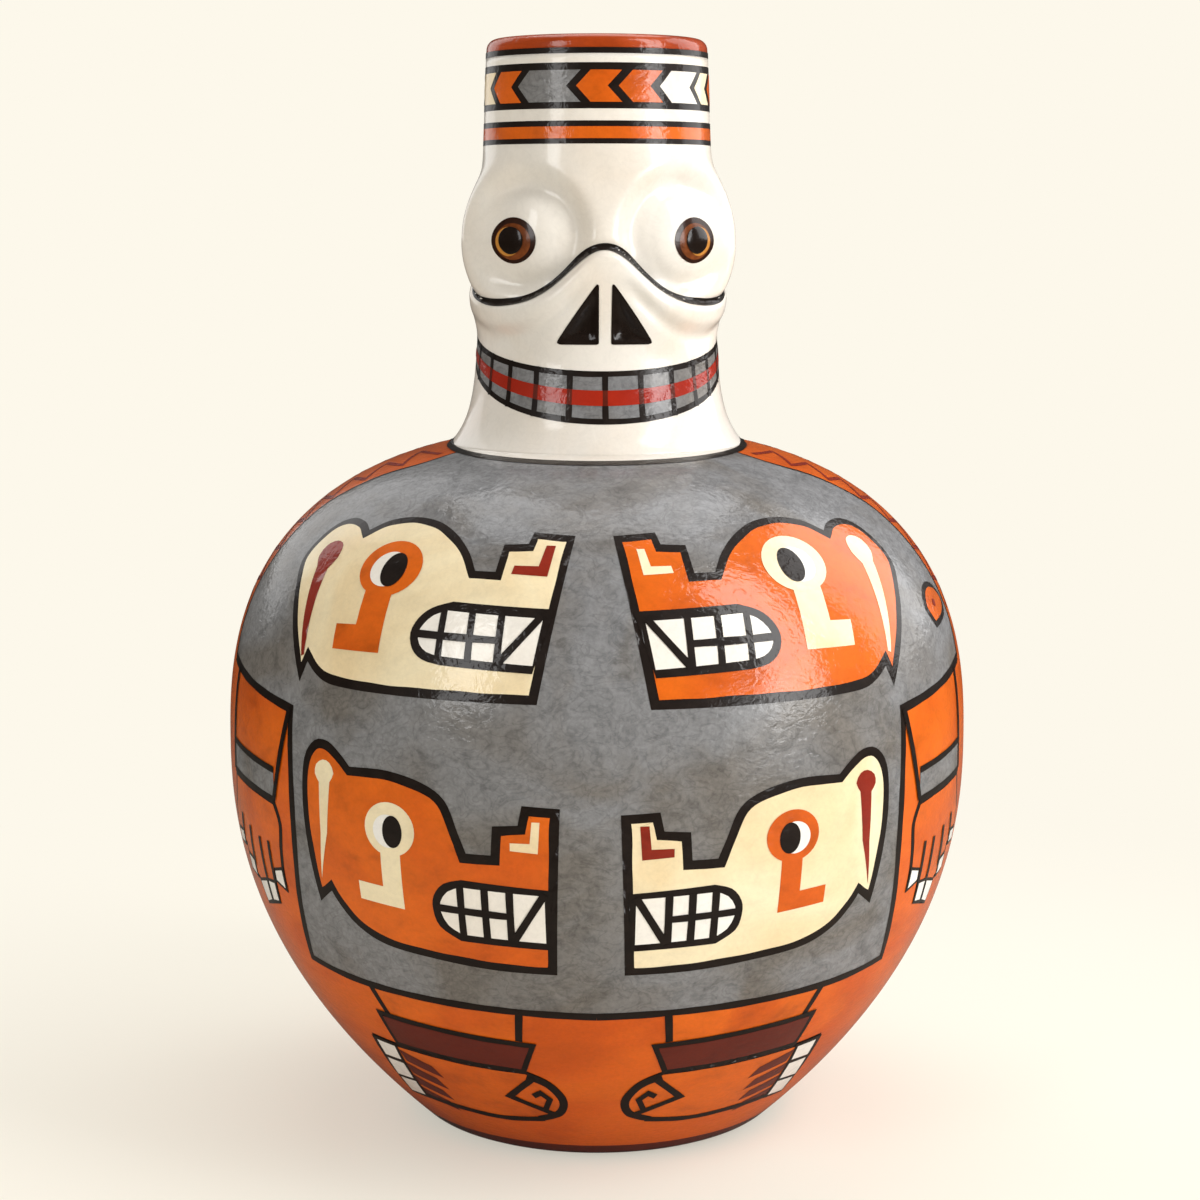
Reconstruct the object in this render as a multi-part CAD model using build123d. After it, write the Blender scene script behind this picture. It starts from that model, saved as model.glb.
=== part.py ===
from build123d import *

import os
from bisect import bisect_right
from math import acos, cos, exp, hypot, sin

# A coil-built ceramic jar whose neck is a modelled face.
# Millimetres, +Z up, the face towards -Y, the origin at the centre of the base.

# Outside of the body
JAR_HEIGHT = 300.0
BASE_RADIUS = 50.0
BELLY_RADIUS = 103.5
BELLY_HEIGHT = 107.0
LOWER_POWER = 2.2  # how late the lower wall turns in
SHOULDER_POWER = 2.55  # 2 is an ellipse, more is a squarer shoulder

# Outside of the neck
NECK_SEAT_RADIUS = 41.0
NECK_SEAT_HEIGHT = 190.0
NECK_RADIUS = 34.2
NECK_FLARE = 7.5  # height in which the flare at the seat falls to a third
LIP_RADIUS = 30.2
COLLAR_HEIGHT = 18.0
HEADBAND_BOTTOM = 271.5
LIP_BOTTOM = 295.0

# Clay thickness
BODY_WALL = 6.0
NECK_WALL = 5.5
FLOOR_THICKNESS = 8.0
MOUTH_RADIUS = 24.5
FOOT_ROUND = 2.0
SCARF = 4.0  # how far each seam runs down from the outside to the inside
BODY_COILS = 9
HEAD_COILS = 3

# Eyes
FACE_TURN = 3.7  # degrees, the face looks a little past the body's front
EYE_ANGLE = 43.4  # degrees to each side of the face's middle
EYE_HEIGHT = 247.0
SOCKET_RADIUS = 14.5  # middle of the roll
SOCKET_ROLL = 4.4
SOCKET_SINK = 2.0  # the roll's middle below the head's surface
EYEBALL_RADIUS = 13.0
EYEBALL_SINK = 8.5  # the ball's centre below the head's surface
IRIS_RADIUS = 6.3
PUPIL_RADIUS = 3.7
EYE_LAYER = 0.6  # thickness of the iris, and of the pupil on it

# Nose and cheeks
CHEEK_HEIGHT = 221.5
CHEEK_ROLL = 9.0
CHEEK_SINK = 6.2  # the roll's middle below the head's surface
CHEEK_REACH = 70.0  # degrees to each side of the face's middle
NOSE_TOP = 233.0  # centre of the nose's rounded upper end
NOSE_RADIUS = 11.0
NOSE_SINK = 8.0
NOSTRIL_TOP = 234.5
NOSTRIL_BOTTOM = 219.2
NOSTRIL_GAP = 3.4
NOSTRIL_WIDTH = 10.5
NOSTRIL_FLOOR = 1.0  # clay left under the sunken nostrils

# Fineness of the sampled outlines
OUTLINE_STEPS = 400
POINTS_PER_EDGE = 7
TANGENT_REACH = 0.5


def spread(first, last, count):
    """Evenly spaced values from first to last, both included."""
    return [first + (last - first) * i / (count - 1) for i in range(count)]


def lower_wall(height):
    """Outer radius of the wall below the belly."""
    below = (BELLY_HEIGHT - height) / BELLY_HEIGHT
    return BELLY_RADIUS - (BELLY_RADIUS - BASE_RADIUS) * below**LOWER_POWER


def body_outline():
    """Fine points (radius, height) up the outside, from the base to the neck's seat."""
    lower = [(lower_wall(z), z) for z in spread(0.0, BELLY_HEIGHT, OUTLINE_STEPS)]
    seat_share = NECK_SEAT_RADIUS / BELLY_RADIUS
    rise = (NECK_SEAT_HEIGHT - BELLY_HEIGHT) / (1 - seat_share**SHOULDER_POWER) ** (1 / SHOULDER_POWER)
    seat_angle = acos(seat_share ** (SHOULDER_POWER / 2))
    power = 2 / SHOULDER_POWER
    shoulder = [
        (BELLY_RADIUS * cos(turn) ** power, BELLY_HEIGHT + rise * sin(turn) ** power)
        for turn in spread(0.0, seat_angle, OUTLINE_STEPS)
    ]
    return lower + shoulder[1:]


OUTLINE = body_outline()
LENGTHS = [0.0]
for (r0, z0), (r1, z1) in zip(OUTLINE, OUTLINE[1:]):
    LENGTHS.append(LENGTHS[-1] + hypot(r1 - r0, z1 - z0))
WALL_LENGTH = LENGTHS[-1]


def outside(length):
    """Point on the body's outline at this length up the wall."""
    length = min(max(length, 0.0), WALL_LENGTH)
    i = min(bisect_right(LENGTHS, length), len(LENGTHS) - 1)
    share = (length - LENGTHS[i - 1]) / (LENGTHS[i] - LENGTHS[i - 1])
    (r0, z0), (r1, z1) = OUTLINE[i - 1], OUTLINE[i]
    return r0 + (r1 - r0) * share, z0 + (z1 - z0) * share


def inside(length):
    """Point on the body's inner face, square in from the outline at this length."""
    r, z = outside(length)
    r0, z0 = outside(length - TANGENT_REACH)
    r1, z1 = outside(length + TANGENT_REACH)
    step = hypot(r1 - r0, z1 - z0)
    return r - BODY_WALL * (z1 - z0) / step, z + BODY_WALL * (r1 - r0) / step


def floor_corner():
    """Length up the wall at which its inner face meets the floor."""
    low, high = 0.0, WALL_LENGTH / 2
    for _ in range(60):
        middle = (low + high) / 2
        if inside(middle)[1] < FLOOR_THICKNESS:
            low = middle
        else:
            high = middle
    return low


SEAT_INNER = inside(WALL_LENGTH)
MOUTH_BOTTOM = HEADBAND_BOTTOM - SCARF


def neck_outside(height):
    """Outer radius of the neck, a straight taper with a flare at its seat."""
    share = (height - NECK_SEAT_HEIGHT) / (JAR_HEIGHT - NECK_SEAT_HEIGHT)
    taper = NECK_RADIUS + (LIP_RADIUS - NECK_RADIUS) * share
    flare = (NECK_SEAT_RADIUS - NECK_RADIUS) * exp((NECK_SEAT_HEIGHT - height) / NECK_FLARE)
    return taper + flare


def neck_inside(height):
    """Inner radius of the neck, a taper that ends in the straight mouth."""
    if height >= MOUTH_BOTTOM:
        return MOUTH_RADIUS
    seat_radius, seat_height = SEAT_INNER
    low_radius = NECK_RADIUS - NECK_WALL
    share = (height - seat_height) / (MOUTH_BOTTOM - seat_height)
    taper = low_radius + (MOUTH_RADIUS - low_radius) * share
    flare = (seat_radius - low_radius) * exp((seat_height - height) / NECK_FLARE)
    return taper + flare * (1 - share)


def at(point):
    """A section's (radius, height) point in space."""
    return (point[0], 0.0, point[1])


def turned(*edges):
    """Solid made by turning a closed section round the jar's axis."""
    return revolve(make_face(edges), axis=Axis.Z)


def ring(outer, inner):
    """Ring of clay between an outer and an inner line of points, both from the bottom up."""
    return turned(
        Spline(*[at(p) for p in outer]),
        Line(at(outer[-1]), at(inner[-1])),
        Spline(*[at(p) for p in inner]),
        Line(at(inner[0]), at(outer[0])),
    )


def base_pat(first_seam):
    """Floor disc with the lowest stretch of the outside and a rounded foot edge."""
    outer = [outside(s) for s in spread(0.0, first_seam, POINTS_PER_EDGE)]
    corner = inside(first_seam - SCARF)
    pat = turned(
        Line((0, 0, 0), at(outer[0])),
        Spline(*[at(p) for p in outer]),
        Line(at(outer[-1]), at(corner)),
        Line(at(corner), (0, 0, corner[1])),
        Line((0, 0, corner[1]), (0, 0, 0)),
    )
    foot = pat.edges().filter_by(GeomType.CIRCLE).sort_by(Axis.Z)[0]
    return fillet(foot, FOOT_ROUND)


def body_coil(low, high):
    """Coil of the body between two seams, given as lengths up the wall."""
    inner_high = high if high == WALL_LENGTH else high - SCARF
    outer = [outside(s) for s in spread(low, high, POINTS_PER_EDGE)]
    inner = [inside(s) for s in spread(low - SCARF, inner_high, POINTS_PER_EDGE)]
    return ring(outer, inner)


def neck_coil(low, high):
    """Coil of the neck between two seams, given as heights on the outside."""
    inner_low = SEAT_INNER[1] if low == NECK_SEAT_HEIGHT else low - SCARF
    outer = [(neck_outside(z), z) for z in spread(low, high, POINTS_PER_EDGE)]
    inner = [(neck_inside(z), z) for z in spread(inner_low, high - SCARF, POINTS_PER_EDGE)]
    return ring(outer, inner)


def headband_coil():
    """Band under the lip, with the jar's mouth as a straight bore."""
    outer = [(neck_outside(z), z) for z in spread(HEADBAND_BOTTOM, LIP_BOTTOM, POINTS_PER_EDGE)]
    bore_low = (MOUTH_RADIUS, MOUTH_BOTTOM)
    bore_high = (MOUTH_RADIUS, LIP_BOTTOM - SCARF)
    return turned(
        Spline(*[at(p) for p in outer]),
        Line(at(outer[-1]), at(bore_high)),
        Line(at(bore_high), at(bore_low)),
        Line(at(bore_low), at(outer[0])),
    )


def rim_lip():
    """Half-round lip on the headband."""
    half = (LIP_RADIUS - MOUTH_RADIUS) / 2
    outer_low = (neck_outside(LIP_BOTTOM), LIP_BOTTOM)
    outer_high = (LIP_RADIUS, JAR_HEIGHT - half)
    inner_high = (MOUTH_RADIUS, JAR_HEIGHT - half)
    inner_low = (MOUTH_RADIUS, LIP_BOTTOM - SCARF)
    crown = (MOUTH_RADIUS + half, JAR_HEIGHT)
    return turned(
        Line(at(outer_low), at(outer_high)),
        ThreePointArc(at(outer_high), at(crown), at(inner_high)),
        Line(at(inner_high), at(inner_low)),
        Line(at(inner_low), at(outer_low)),
    )


def on_face(angle, distance, height):
    """Place on the head, its Z axis looking straight out, at an angle from the face's middle."""
    return Rot(0, 0, FACE_TURN + angle) * Pos(0, -distance, height) * Rot(90, 0, 0)


def head_block(heights):
    """The head's wall and all that it encloses, to cut what is laid on it."""
    outside_edges = [
        Spline(*[at((neck_outside(z), z)) for z in spread(low, high, POINTS_PER_EDGE)])
        for low, high in zip(heights, heights[1:])
    ]
    low, high = heights[0], heights[-1]
    return turned(
        *outside_edges,
        Line(at((neck_outside(high), high)), (0, 0, high)),
        Line((0, 0, high), (0, 0, low)),
        Line((0, 0, low), at((neck_outside(low), low))),
    )


def eye(angle, block):
    """Socket roll, eyeball, iris and pupil of the eye at this angle."""
    surface = neck_outside(EYE_HEIGHT)
    centre = on_face(angle, surface - EYEBALL_SINK, EYE_HEIGHT)
    ball = centre * Sphere(EYEBALL_RADIUS)
    iris_ball = centre * Sphere(EYEBALL_RADIUS + EYE_LAYER)
    pupil_ball = centre * Sphere(EYEBALL_RADIUS + 2 * EYE_LAYER)
    reach = 2 * EYEBALL_RADIUS
    upward = (Align.CENTER, Align.CENTER, Align.MIN)
    iris = centre * Cylinder(IRIS_RADIUS, reach, align=upward) & (iris_ball - ball)
    pupil = centre * Cylinder(PUPIL_RADIUS, reach, align=upward) & (pupil_ball - iris_ball)
    roll = on_face(angle, surface - SOCKET_SINK, EYE_HEIGHT) * Torus(SOCKET_RADIUS, SOCKET_ROLL)
    socket = roll - block - ball
    return {"eye_socket": socket, "eyeball": ball - block, "iris": iris, "pupil": pupil}


def nostril(side):
    """Cutter of one sunken triangular nostril, side -1 or 1."""
    near = side * NOSTRIL_GAP / 2
    far = side * (NOSTRIL_GAP / 2 + NOSTRIL_WIDTH)
    height = NOSTRIL_TOP - NOSTRIL_BOTTOM
    outline = make_face(
        Polyline(
            (near, 0, NOSTRIL_BOTTOM),
            (far, 0, NOSTRIL_BOTTOM),
            (near, 0, NOSTRIL_TOP),
            close=True,
        )
    )
    prism = extrude(outline, amount=2 * NECK_RADIUS, dir=(0, -1, 0))
    low_floor = neck_outside(NOSTRIL_BOTTOM - height) + NOSTRIL_FLOOR
    high_floor = neck_outside(NOSTRIL_TOP + height) + NOSTRIL_FLOOR
    kept = Pos(0, 0, (NOSTRIL_BOTTOM + NOSTRIL_TOP) / 2) * Cone(low_floor, high_floor, 3 * height)
    return Rot(0, 0, FACE_TURN) * (prism - kept)


def muzzle(block, eyes):
    """Pad of cheeks and nose on the front of the head."""
    surface = neck_outside(CHEEK_HEIGHT)
    section = Plane.XZ * Pos(surface - CHEEK_SINK, CHEEK_HEIGHT) * Circle(CHEEK_ROLL)
    cheeks = revolve(section, axis=Axis.Z, revolution_arc=2 * CHEEK_REACH)
    cheeks = Rot(0, 0, FACE_TURN - 90 - CHEEK_REACH) * cheeks
    nose_foot = Rot(0, 0, FACE_TURN) * Pos(0, NOSE_SINK - surface, CHEEK_HEIGHT)
    bridge_length = NOSE_TOP - CHEEK_HEIGHT
    bridge = nose_foot * Cylinder(NOSE_RADIUS, bridge_length, align=(Align.CENTER, Align.CENTER, Align.MIN))
    tip = nose_foot * Pos(0, 0, bridge_length) * Sphere(NOSE_RADIUS)
    pad = cheeks + (bridge + tip)
    for cutter in (block, *eyes, nostril(-1), nostril(1)):
        pad = pad - cutter
    return pad


def build():
    """All the jar's pieces by name."""
    pieces = {}
    first_seam = floor_corner() + SCARF
    pieces["base_pat"] = base_pat(first_seam)
    seams = spread(first_seam, WALL_LENGTH, BODY_COILS + 1)
    for i, (low, high) in enumerate(zip(seams, seams[1:]), start=1):
        pieces[f"body_coil_{i}"] = body_coil(low, high)
    collar_top = NECK_SEAT_HEIGHT + COLLAR_HEIGHT
    pieces["collar_coil"] = neck_coil(NECK_SEAT_HEIGHT, collar_top)
    heights = spread(collar_top, HEADBAND_BOTTOM, HEAD_COILS + 1)
    for i, (low, high) in enumerate(zip(heights, heights[1:]), start=1):
        pieces[f"head_coil_{i}"] = neck_coil(low, high)
    pieces["headband_coil"] = headband_coil()
    pieces["rim_lip"] = rim_lip()
    block = head_block(heights)
    eyes = []
    for side, angle in (("left", -EYE_ANGLE), ("right", EYE_ANGLE)):
        made = eye(angle, block)
        eyes += [made["eye_socket"], made["eyeball"]]
        for name, solid in made.items():
            pieces[f"{side}_{name}"] = solid
    pieces["muzzle"] = muzzle(block, eyes)
    return pieces


os.makedirs("parts", exist_ok=True)
for name, solid in build().items():
    solid.label = name
    export_step(solid, f"parts/{name}.step")
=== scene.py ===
import math

import bmesh
import bpy
import numpy as np
from bpy.props import FloatProperty, PointerProperty, StringProperty
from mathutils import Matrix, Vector


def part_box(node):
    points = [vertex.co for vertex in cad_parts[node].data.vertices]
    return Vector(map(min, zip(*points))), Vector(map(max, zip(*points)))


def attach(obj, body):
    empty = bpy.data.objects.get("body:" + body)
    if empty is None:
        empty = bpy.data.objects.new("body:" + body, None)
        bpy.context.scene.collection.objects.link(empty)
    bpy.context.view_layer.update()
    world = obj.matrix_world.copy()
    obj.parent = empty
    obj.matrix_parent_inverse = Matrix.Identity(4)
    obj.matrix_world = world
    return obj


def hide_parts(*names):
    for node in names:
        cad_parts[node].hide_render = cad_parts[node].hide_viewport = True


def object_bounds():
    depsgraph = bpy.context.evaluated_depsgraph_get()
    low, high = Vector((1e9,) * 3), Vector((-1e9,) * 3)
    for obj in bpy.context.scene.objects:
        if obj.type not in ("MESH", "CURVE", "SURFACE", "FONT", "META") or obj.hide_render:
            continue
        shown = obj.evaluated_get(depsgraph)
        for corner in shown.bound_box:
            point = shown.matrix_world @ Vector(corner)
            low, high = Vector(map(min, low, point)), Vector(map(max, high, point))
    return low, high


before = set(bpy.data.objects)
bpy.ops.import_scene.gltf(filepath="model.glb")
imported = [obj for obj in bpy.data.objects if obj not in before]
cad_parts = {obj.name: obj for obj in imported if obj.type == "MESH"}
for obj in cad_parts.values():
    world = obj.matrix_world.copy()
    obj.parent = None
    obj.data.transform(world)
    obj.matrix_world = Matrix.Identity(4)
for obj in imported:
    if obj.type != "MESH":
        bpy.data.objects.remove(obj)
cad_low, cad_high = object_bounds()

bl_info = {
    "name": "Face-neck effigy jar",
    "version": (1, 0, 0),
    "blender": (4, 5, 0),
    "location": "View3D > Sidebar > Effigy jar",
    "description": "A coil-built jar with a modelled face and figures painted in slip",
    "category": "Object",
}

MM = 0.001
HEAD_ROLL = 33.0  # mm, the radius that turns an angle on the head into a length across it
DEGREE = math.radians(1.0) * HEAD_ROLL  # mm across the head in one degree
COAT = 0.06  # mm, one coat of slip

# How finely flat drawings are cut before they are bent round the jar, in mm
BODY_GRID = 4.0
STRIP_GRID = 3.0
SEAT_GRID = 2.0
HEAD_GRID = 1.2
NECK_GRID = 1.0
IRIS_GRID = 0.8
PUPIL_GRID = 0.5


# Sizes and colours that can be changed in the panel


def length(name, description, default):
    """A length in metres for the panel."""
    return FloatProperty(name=name, description=description, default=default, unit="LENGTH", precision=4)


def angle(name, description, degrees):
    """An angle for the panel."""
    return FloatProperty(name=name, description=description, default=math.radians(degrees), subtype="ANGLE")


def power(name, description, default):
    """An exponent of a curve for the panel."""
    return FloatProperty(name=name, description=description, default=default)


def colour(name, description, default):
    """An sRGB hex colour for the panel."""
    return StringProperty(name=name, description=description, default=default)


class JarSizes(bpy.types.PropertyGroup):
    """Sizes of the plain turned jar."""

    height: length("Height", "From the base to the lip", cad_high.z)
    belly_radius: length("Belly radius", "Largest outer radius of the body", cad_high.x)
    belly_height: length("Belly height", "Height of the largest radius", 0.107)
    base_radius: length("Base radius", "Outer radius at the flat base", 0.050)
    seat_radius: length("Neck seat radius", "Outer radius where neck and body meet", 0.041)
    seat_height: length("Neck seat height", "Height where they meet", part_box("body_coil_9")[1].z)
    neck_radius: length("Neck radius", "Outer radius of the neck above its flare", 0.0342)
    neck_flare: length("Neck flare", "Height in which the flare falls to a third", 0.0075)
    lip_radius: length("Lip radius", "Outer radius at the lip", 0.0302)
    lip_bottom: length("Lip bottom", "Height of the lip's lower edge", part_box("headband_coil")[1].z)
    mouth_radius: length("Mouth radius", "Radius of the straight mouth", 0.0245)
    wall: length("Wall", "Thickness of the body wall", 0.006)
    floor: length("Floor", "Thickness of the floor", 0.008)
    lower_power: power("Lower curve", "How late the lower wall turns in", 2.2)
    shoulder_power: power("Shoulder", "2 is an ellipse, more is squarer", 2.55)


class FaceSizes(bpy.types.PropertyGroup):
    """Sizes of the face modelled on the neck."""

    turn: angle("Turn", "How far the face looks past the body's front", 3.7)
    socket_angle: angle("Socket angle", "Middle of a socket, from the face's middle", 40.5)
    ball_angle: angle("Eyeball angle", "Middle of an eyeball, from the face's middle", 46.0)
    iris_angle: angle("Iris angle", "Middle of an iris, from the face's middle", 45.2)
    eye_height: length("Eye height", "Height of the eyes' middle", 0.2475)
    iris_turn: angle("Iris turn", "How far the irises look past the face's front", 0.8)
    iris_height: length("Iris height", "Height of the irises' middle", 0.2461)
    ball_radius: length("Eyeball radius", "Radius of the dome that shows", 0.0128)
    ball_rise: length("Eyeball rise", "How far the dome stands out", 0.0026)
    socket_radius: length("Socket radius", "Middle of the socket's rim", 0.0170)
    socket_depth: length("Socket depth", "Depth of the valley round the eyeball", 0.0026)
    temple_rise: length("Temple rise", "How far the rim stands out at the temple", 0.0066)
    iris_radius: length("Iris radius", "Radius of the painted iris", 0.0063)
    pupil_radius: length("Pupil radius", "Radius of the glossy pupil", 0.0037)
    muzzle_rise: length("Muzzle rise", "How far nose and cheeks stand out", 0.0042)


class SlipColours(bpy.types.PropertyGroup):
    """Colours of the fired slips, as sRGB hex."""

    white: colour("White slip", "Face and neck", "#E7E1D9")
    tooth: colour("Tooth slip", "Teeth and nails", "#EFECE7")
    cream: colour("Cream slip", "Pale animal heads", "#EEDFBC")
    orange: colour("Orange slip", "Orange animal heads and headband", "#D6620C")
    ground: colour("Ground slip", "Lower body and shoulder strips", "#DC620E")
    lip: colour("Lip slip", "Rounded lip", "#AA400E")
    grey: colour("Grey slip", "Tunic", "#818183")
    red: colour("Red slip", "Ears and small marks", "#8C2614")
    scarlet: colour("Scarlet slip", "Stripe of the mouth", "#A3240C")
    maroon: colour("Maroon slip", "Bands above the feet, and toes", "#631F10")
    black: colour("Black slip", "Outlines and pupils", "#1E1612")
    brown: colour("Brown slip", "Outer ring of the irises", "#2E180F")
    amber: colour("Amber slip", "Inner ring of the irises", "#703A19")
    gold: colour("Gold slip", "Crescents beside the pupils", "#BC8038")
    clay: colour("Bare clay", "Inside of the jar and its base", "#A8613C")
    floor: colour("Floor", "Floor and background", "#FDF8EB")


# Shape of the jar, in mm, and in degrees from the face's middle

BASE_EDGE = ((0.0, 0.0), (47.5, 0.0), (49.4, 0.25), (50.8, 0.9))  # radii and heights
EDGE_TOP = 2.4  # length up the wall at which the plain wall begins
FLOOR_CORNER = 3.0  # bevel between the inner wall and the floor
FOOT_LINE_AND_SHADE_HEIGHT = 4.2  # height of the dark maroon ring round the base: a dark foot line, and painted contact shade where the base turns under
MOUTH_DEPTH = 27.5  # how far the straight mouth goes down below the lip
LIP_LAP = 4.0  # how far the lip's inner edge goes down
NECK_THINNING = 0.5  # how much thinner the neck's wall is than the body's
FACE_TOP = 270.0  # height at which the face ends and the headband begins
FACE_STEP = 0.6  # distance of the rows of vertices on the face

CREASE_HEIGHT = 229.4  # lowest part of the crease between eyes and cheeks
CREASE_DEPTH = 0.9
CREASE_WIDTH = 1.3
BRIDGE_RISE = 15.2  # climb of the crease over the nose
BRIDGE_SPREAD = 24.8  # degrees in which that climb fades
SIDE_RISE = 5.2  # climb of the crease at the sides
SIDE_RANGE = (50.0, 85.0)  # degrees in which it climbs so far
SIDE_LIMIT = 1.35  # share of those degrees at which the climb stops
SHALLOW_RANGE = (50.0, 80.0)  # degrees in which the crease gets shallower
FRONT_RANGE = (78.0, 110.0)  # degrees in which crease and muzzle end
CHIN_HEIGHT = 213.5  # where the muzzle's swell ends below the nose
CHEEK_LIFT = 4.5  # how much higher it ends below the cheeks
CHEEK_RANGE = (22.0, 52.0)  # degrees from nose to cheek
CHEEK_ROLL = (0.7, 4.8, 2.6)  # rise, distance below the crease, and width
CHEEK_DIP = (-0.8, 9.4, 2.2)  # the same below the roll
ROLL_START = (4.0, 18.0)  # degrees in which the roll grows beside the nose
ROLL_END = (62.0, 88.0)  # degrees in which it ends at the side
NOSTRIL_GAP = 1.6  # from the face's middle
NOSTRIL_WIDTH = 11.2
NOSTRIL_TOP = 235.2
NOSTRIL_BOTTOM = 218.8
NOSTRIL_DEPTH = 1.3
NOSTRIL_EDGE = 1.5  # sharpness of the sunken edge, per mm

INNER_RIM = 4.0  # spread of the socket's rim towards the eyeball, and how much the temple adds
INNER_RIM_TEMPLE = 3.0
OUTER_RIM = 6.0  # the same away from the eyeball
OUTER_RIM_TEMPLE = 2.5
RIM_RISE = 1.0  # of the socket's rim beside the nose
RIM_BELOW = 1.2  # more of it below the eye
SOCKET_STRETCH = 1.12  # the socket is wider than it is high
VALLEY_WIDTH = 3.6
BALL_STRETCH = 1.05


def eased(value, low, high):
    """Eases from 0 at the low value to 1 at the high one."""
    share = np.clip((value - low) / (high - low), 0.0, 1.0)
    return share * share * (3.0 - 2.0 * share)


def bell(value, middle, spread):
    """A bell curve of height 1."""
    return np.exp(-(((value - middle) / spread) ** 2))


class JarShape:
    """The jar's surfaces in millimetres, worked out from the sizes in the panel."""

    def __init__(self, scene):
        for group in (scene.jar_sizes, scene.jar_face):
            for name, prop in group.bl_rna.properties.items():
                if prop.type == "FLOAT":
                    self.keep(name, prop, getattr(group, name))
        self.trace_wall()

    def keep(self, name, prop, value):
        """Keeps a size in millimetres, or an angle in degrees, under its own name."""
        if prop.unit == "LENGTH":
            value = value / MM
        elif prop.subtype == "ANGLE":
            value = math.degrees(value)
        setattr(self, name, value)

    def trace_wall(self):
        """Radii and heights up the outside of the body, with the length along it."""
        low = np.linspace(0.0, self.belly_height, 300)
        below = (self.belly_height - low) / self.belly_height
        low_radii = self.belly_radius - (self.belly_radius - self.base_radius) * below**self.lower_power
        share = self.seat_radius / self.belly_radius
        square = self.shoulder_power
        rise = (self.seat_height - self.belly_height) / (1.0 - share**square) ** (1.0 / square)
        turn = np.linspace(0.0, math.acos(share ** (square / 2.0)), 300)[1:]
        self.radii = np.concatenate([low_radii, self.belly_radius * np.cos(turn) ** (2.0 / square)])
        self.heights = np.concatenate([low, self.belly_height + rise * np.sin(turn) ** (2.0 / square)])
        steps = np.hypot(np.diff(self.radii), np.diff(self.heights))
        self.lengths = np.concatenate([[0.0], np.cumsum(steps)])
        self.wall_length = self.lengths[-1]

    def body_point(self, up):
        """Radius and height at a length up the wall."""
        return np.interp(up, self.lengths, self.radii), np.interp(up, self.lengths, self.heights)

    def inner_point(self, up):
        """Radius and height of the inner face, square in from the outside."""
        radius, height = self.body_point(up)
        r0, z0 = self.body_point(up - 0.5)
        r1, z1 = self.body_point(up + 0.5)
        step = np.hypot(r1 - r0, z1 - z0)
        return radius - self.wall * (z1 - z0) / step, height + self.wall * (r1 - r0) / step

    def neck(self, height):
        """Outer radius of the plain neck."""
        share = (height - self.seat_height) / (self.height - self.seat_height)
        fall = np.exp((self.seat_height - height) / self.neck_flare)
        taper = (self.lip_radius - self.neck_radius) * share
        return self.neck_radius + taper + (self.seat_radius - self.neck_radius) * fall

    def neck_inside(self, height):
        """Inner radius of the neck, a taper that ends in the straight mouth."""
        seat_radius, seat_height = self.inner_point(self.wall_length)
        low_radius = self.neck_radius - self.wall + NECK_THINNING
        share = np.clip((height - seat_height) / (self.lip_bottom - MOUTH_DEPTH - seat_height), 0.0, 1.0)
        flare = (seat_radius - low_radius) * np.exp((seat_height - height) / self.neck_flare)
        return low_radius + (self.mouth_radius - low_radius) * share + flare * (1.0 - share)

    def brow(self, a):
        """Height of the crease from the nose's bridge down round the cheeks, at degrees from the middle."""
        first, last = SIDE_RANGE
        outward = np.clip((np.abs(a) - first) / (last - first), 0.0, SIDE_LIMIT)
        return CREASE_HEIGHT + BRIDGE_RISE * bell(a, 0.0, BRIDGE_SPREAD) + SIDE_RISE * outward**2

    def eye_relief(self, a, z, side):
        """Rim, valley and ball of one eye."""
        across = (side * a - self.socket_angle) * DEGREE / SOCKET_STRETCH
        rise = z - self.eye_height
        away = np.hypot(across, rise) + 1e-6
        temple = np.clip(across / away, 0.0, 1.0) ** 1.4
        below = np.clip(-rise / away, 0.0, 1.0)
        rim_rise = RIM_RISE + (self.temple_rise - RIM_RISE) * temple + RIM_BELOW * below
        inner_rim = INNER_RIM + INNER_RIM_TEMPLE * temple
        outer_rim = OUTER_RIM + OUTER_RIM_TEMPLE * temple
        spread = np.where(away < self.socket_radius, inner_rim, outer_rim)
        rim = rim_rise * bell(away, self.socket_radius, spread)
        valley = self.socket_depth * (1.0 - temple) * bell(away, self.ball_radius + 1.0, VALLEY_WIDTH)
        inward = (side * a - self.ball_angle) * DEGREE
        ball = np.hypot(inward / BALL_STRETCH, rise + 0.5) / self.ball_radius
        return rim - valley + self.ball_rise * np.clip(1.0 - ball**2, 0.0, None) ** 1.2

    def nostril(self, a, z, side):
        """How far a point lies inside one sunken triangular nostril, 0 to 1."""
        across = side * a * DEGREE - NOSTRIL_GAP
        tall = NOSTRIL_TOP - NOSTRIL_BOTTOM
        outer = -(across * tall + (z - NOSTRIL_TOP) * NOSTRIL_WIDTH) / math.hypot(NOSTRIL_WIDTH, tall)
        sides = sum(np.exp(-NOSTRIL_EDGE * inside) for inside in (across, z - NOSTRIL_BOTTOM, outer))
        return eased(-np.log(sides) / NOSTRIL_EDGE, 0.0, 2.6)

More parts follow.
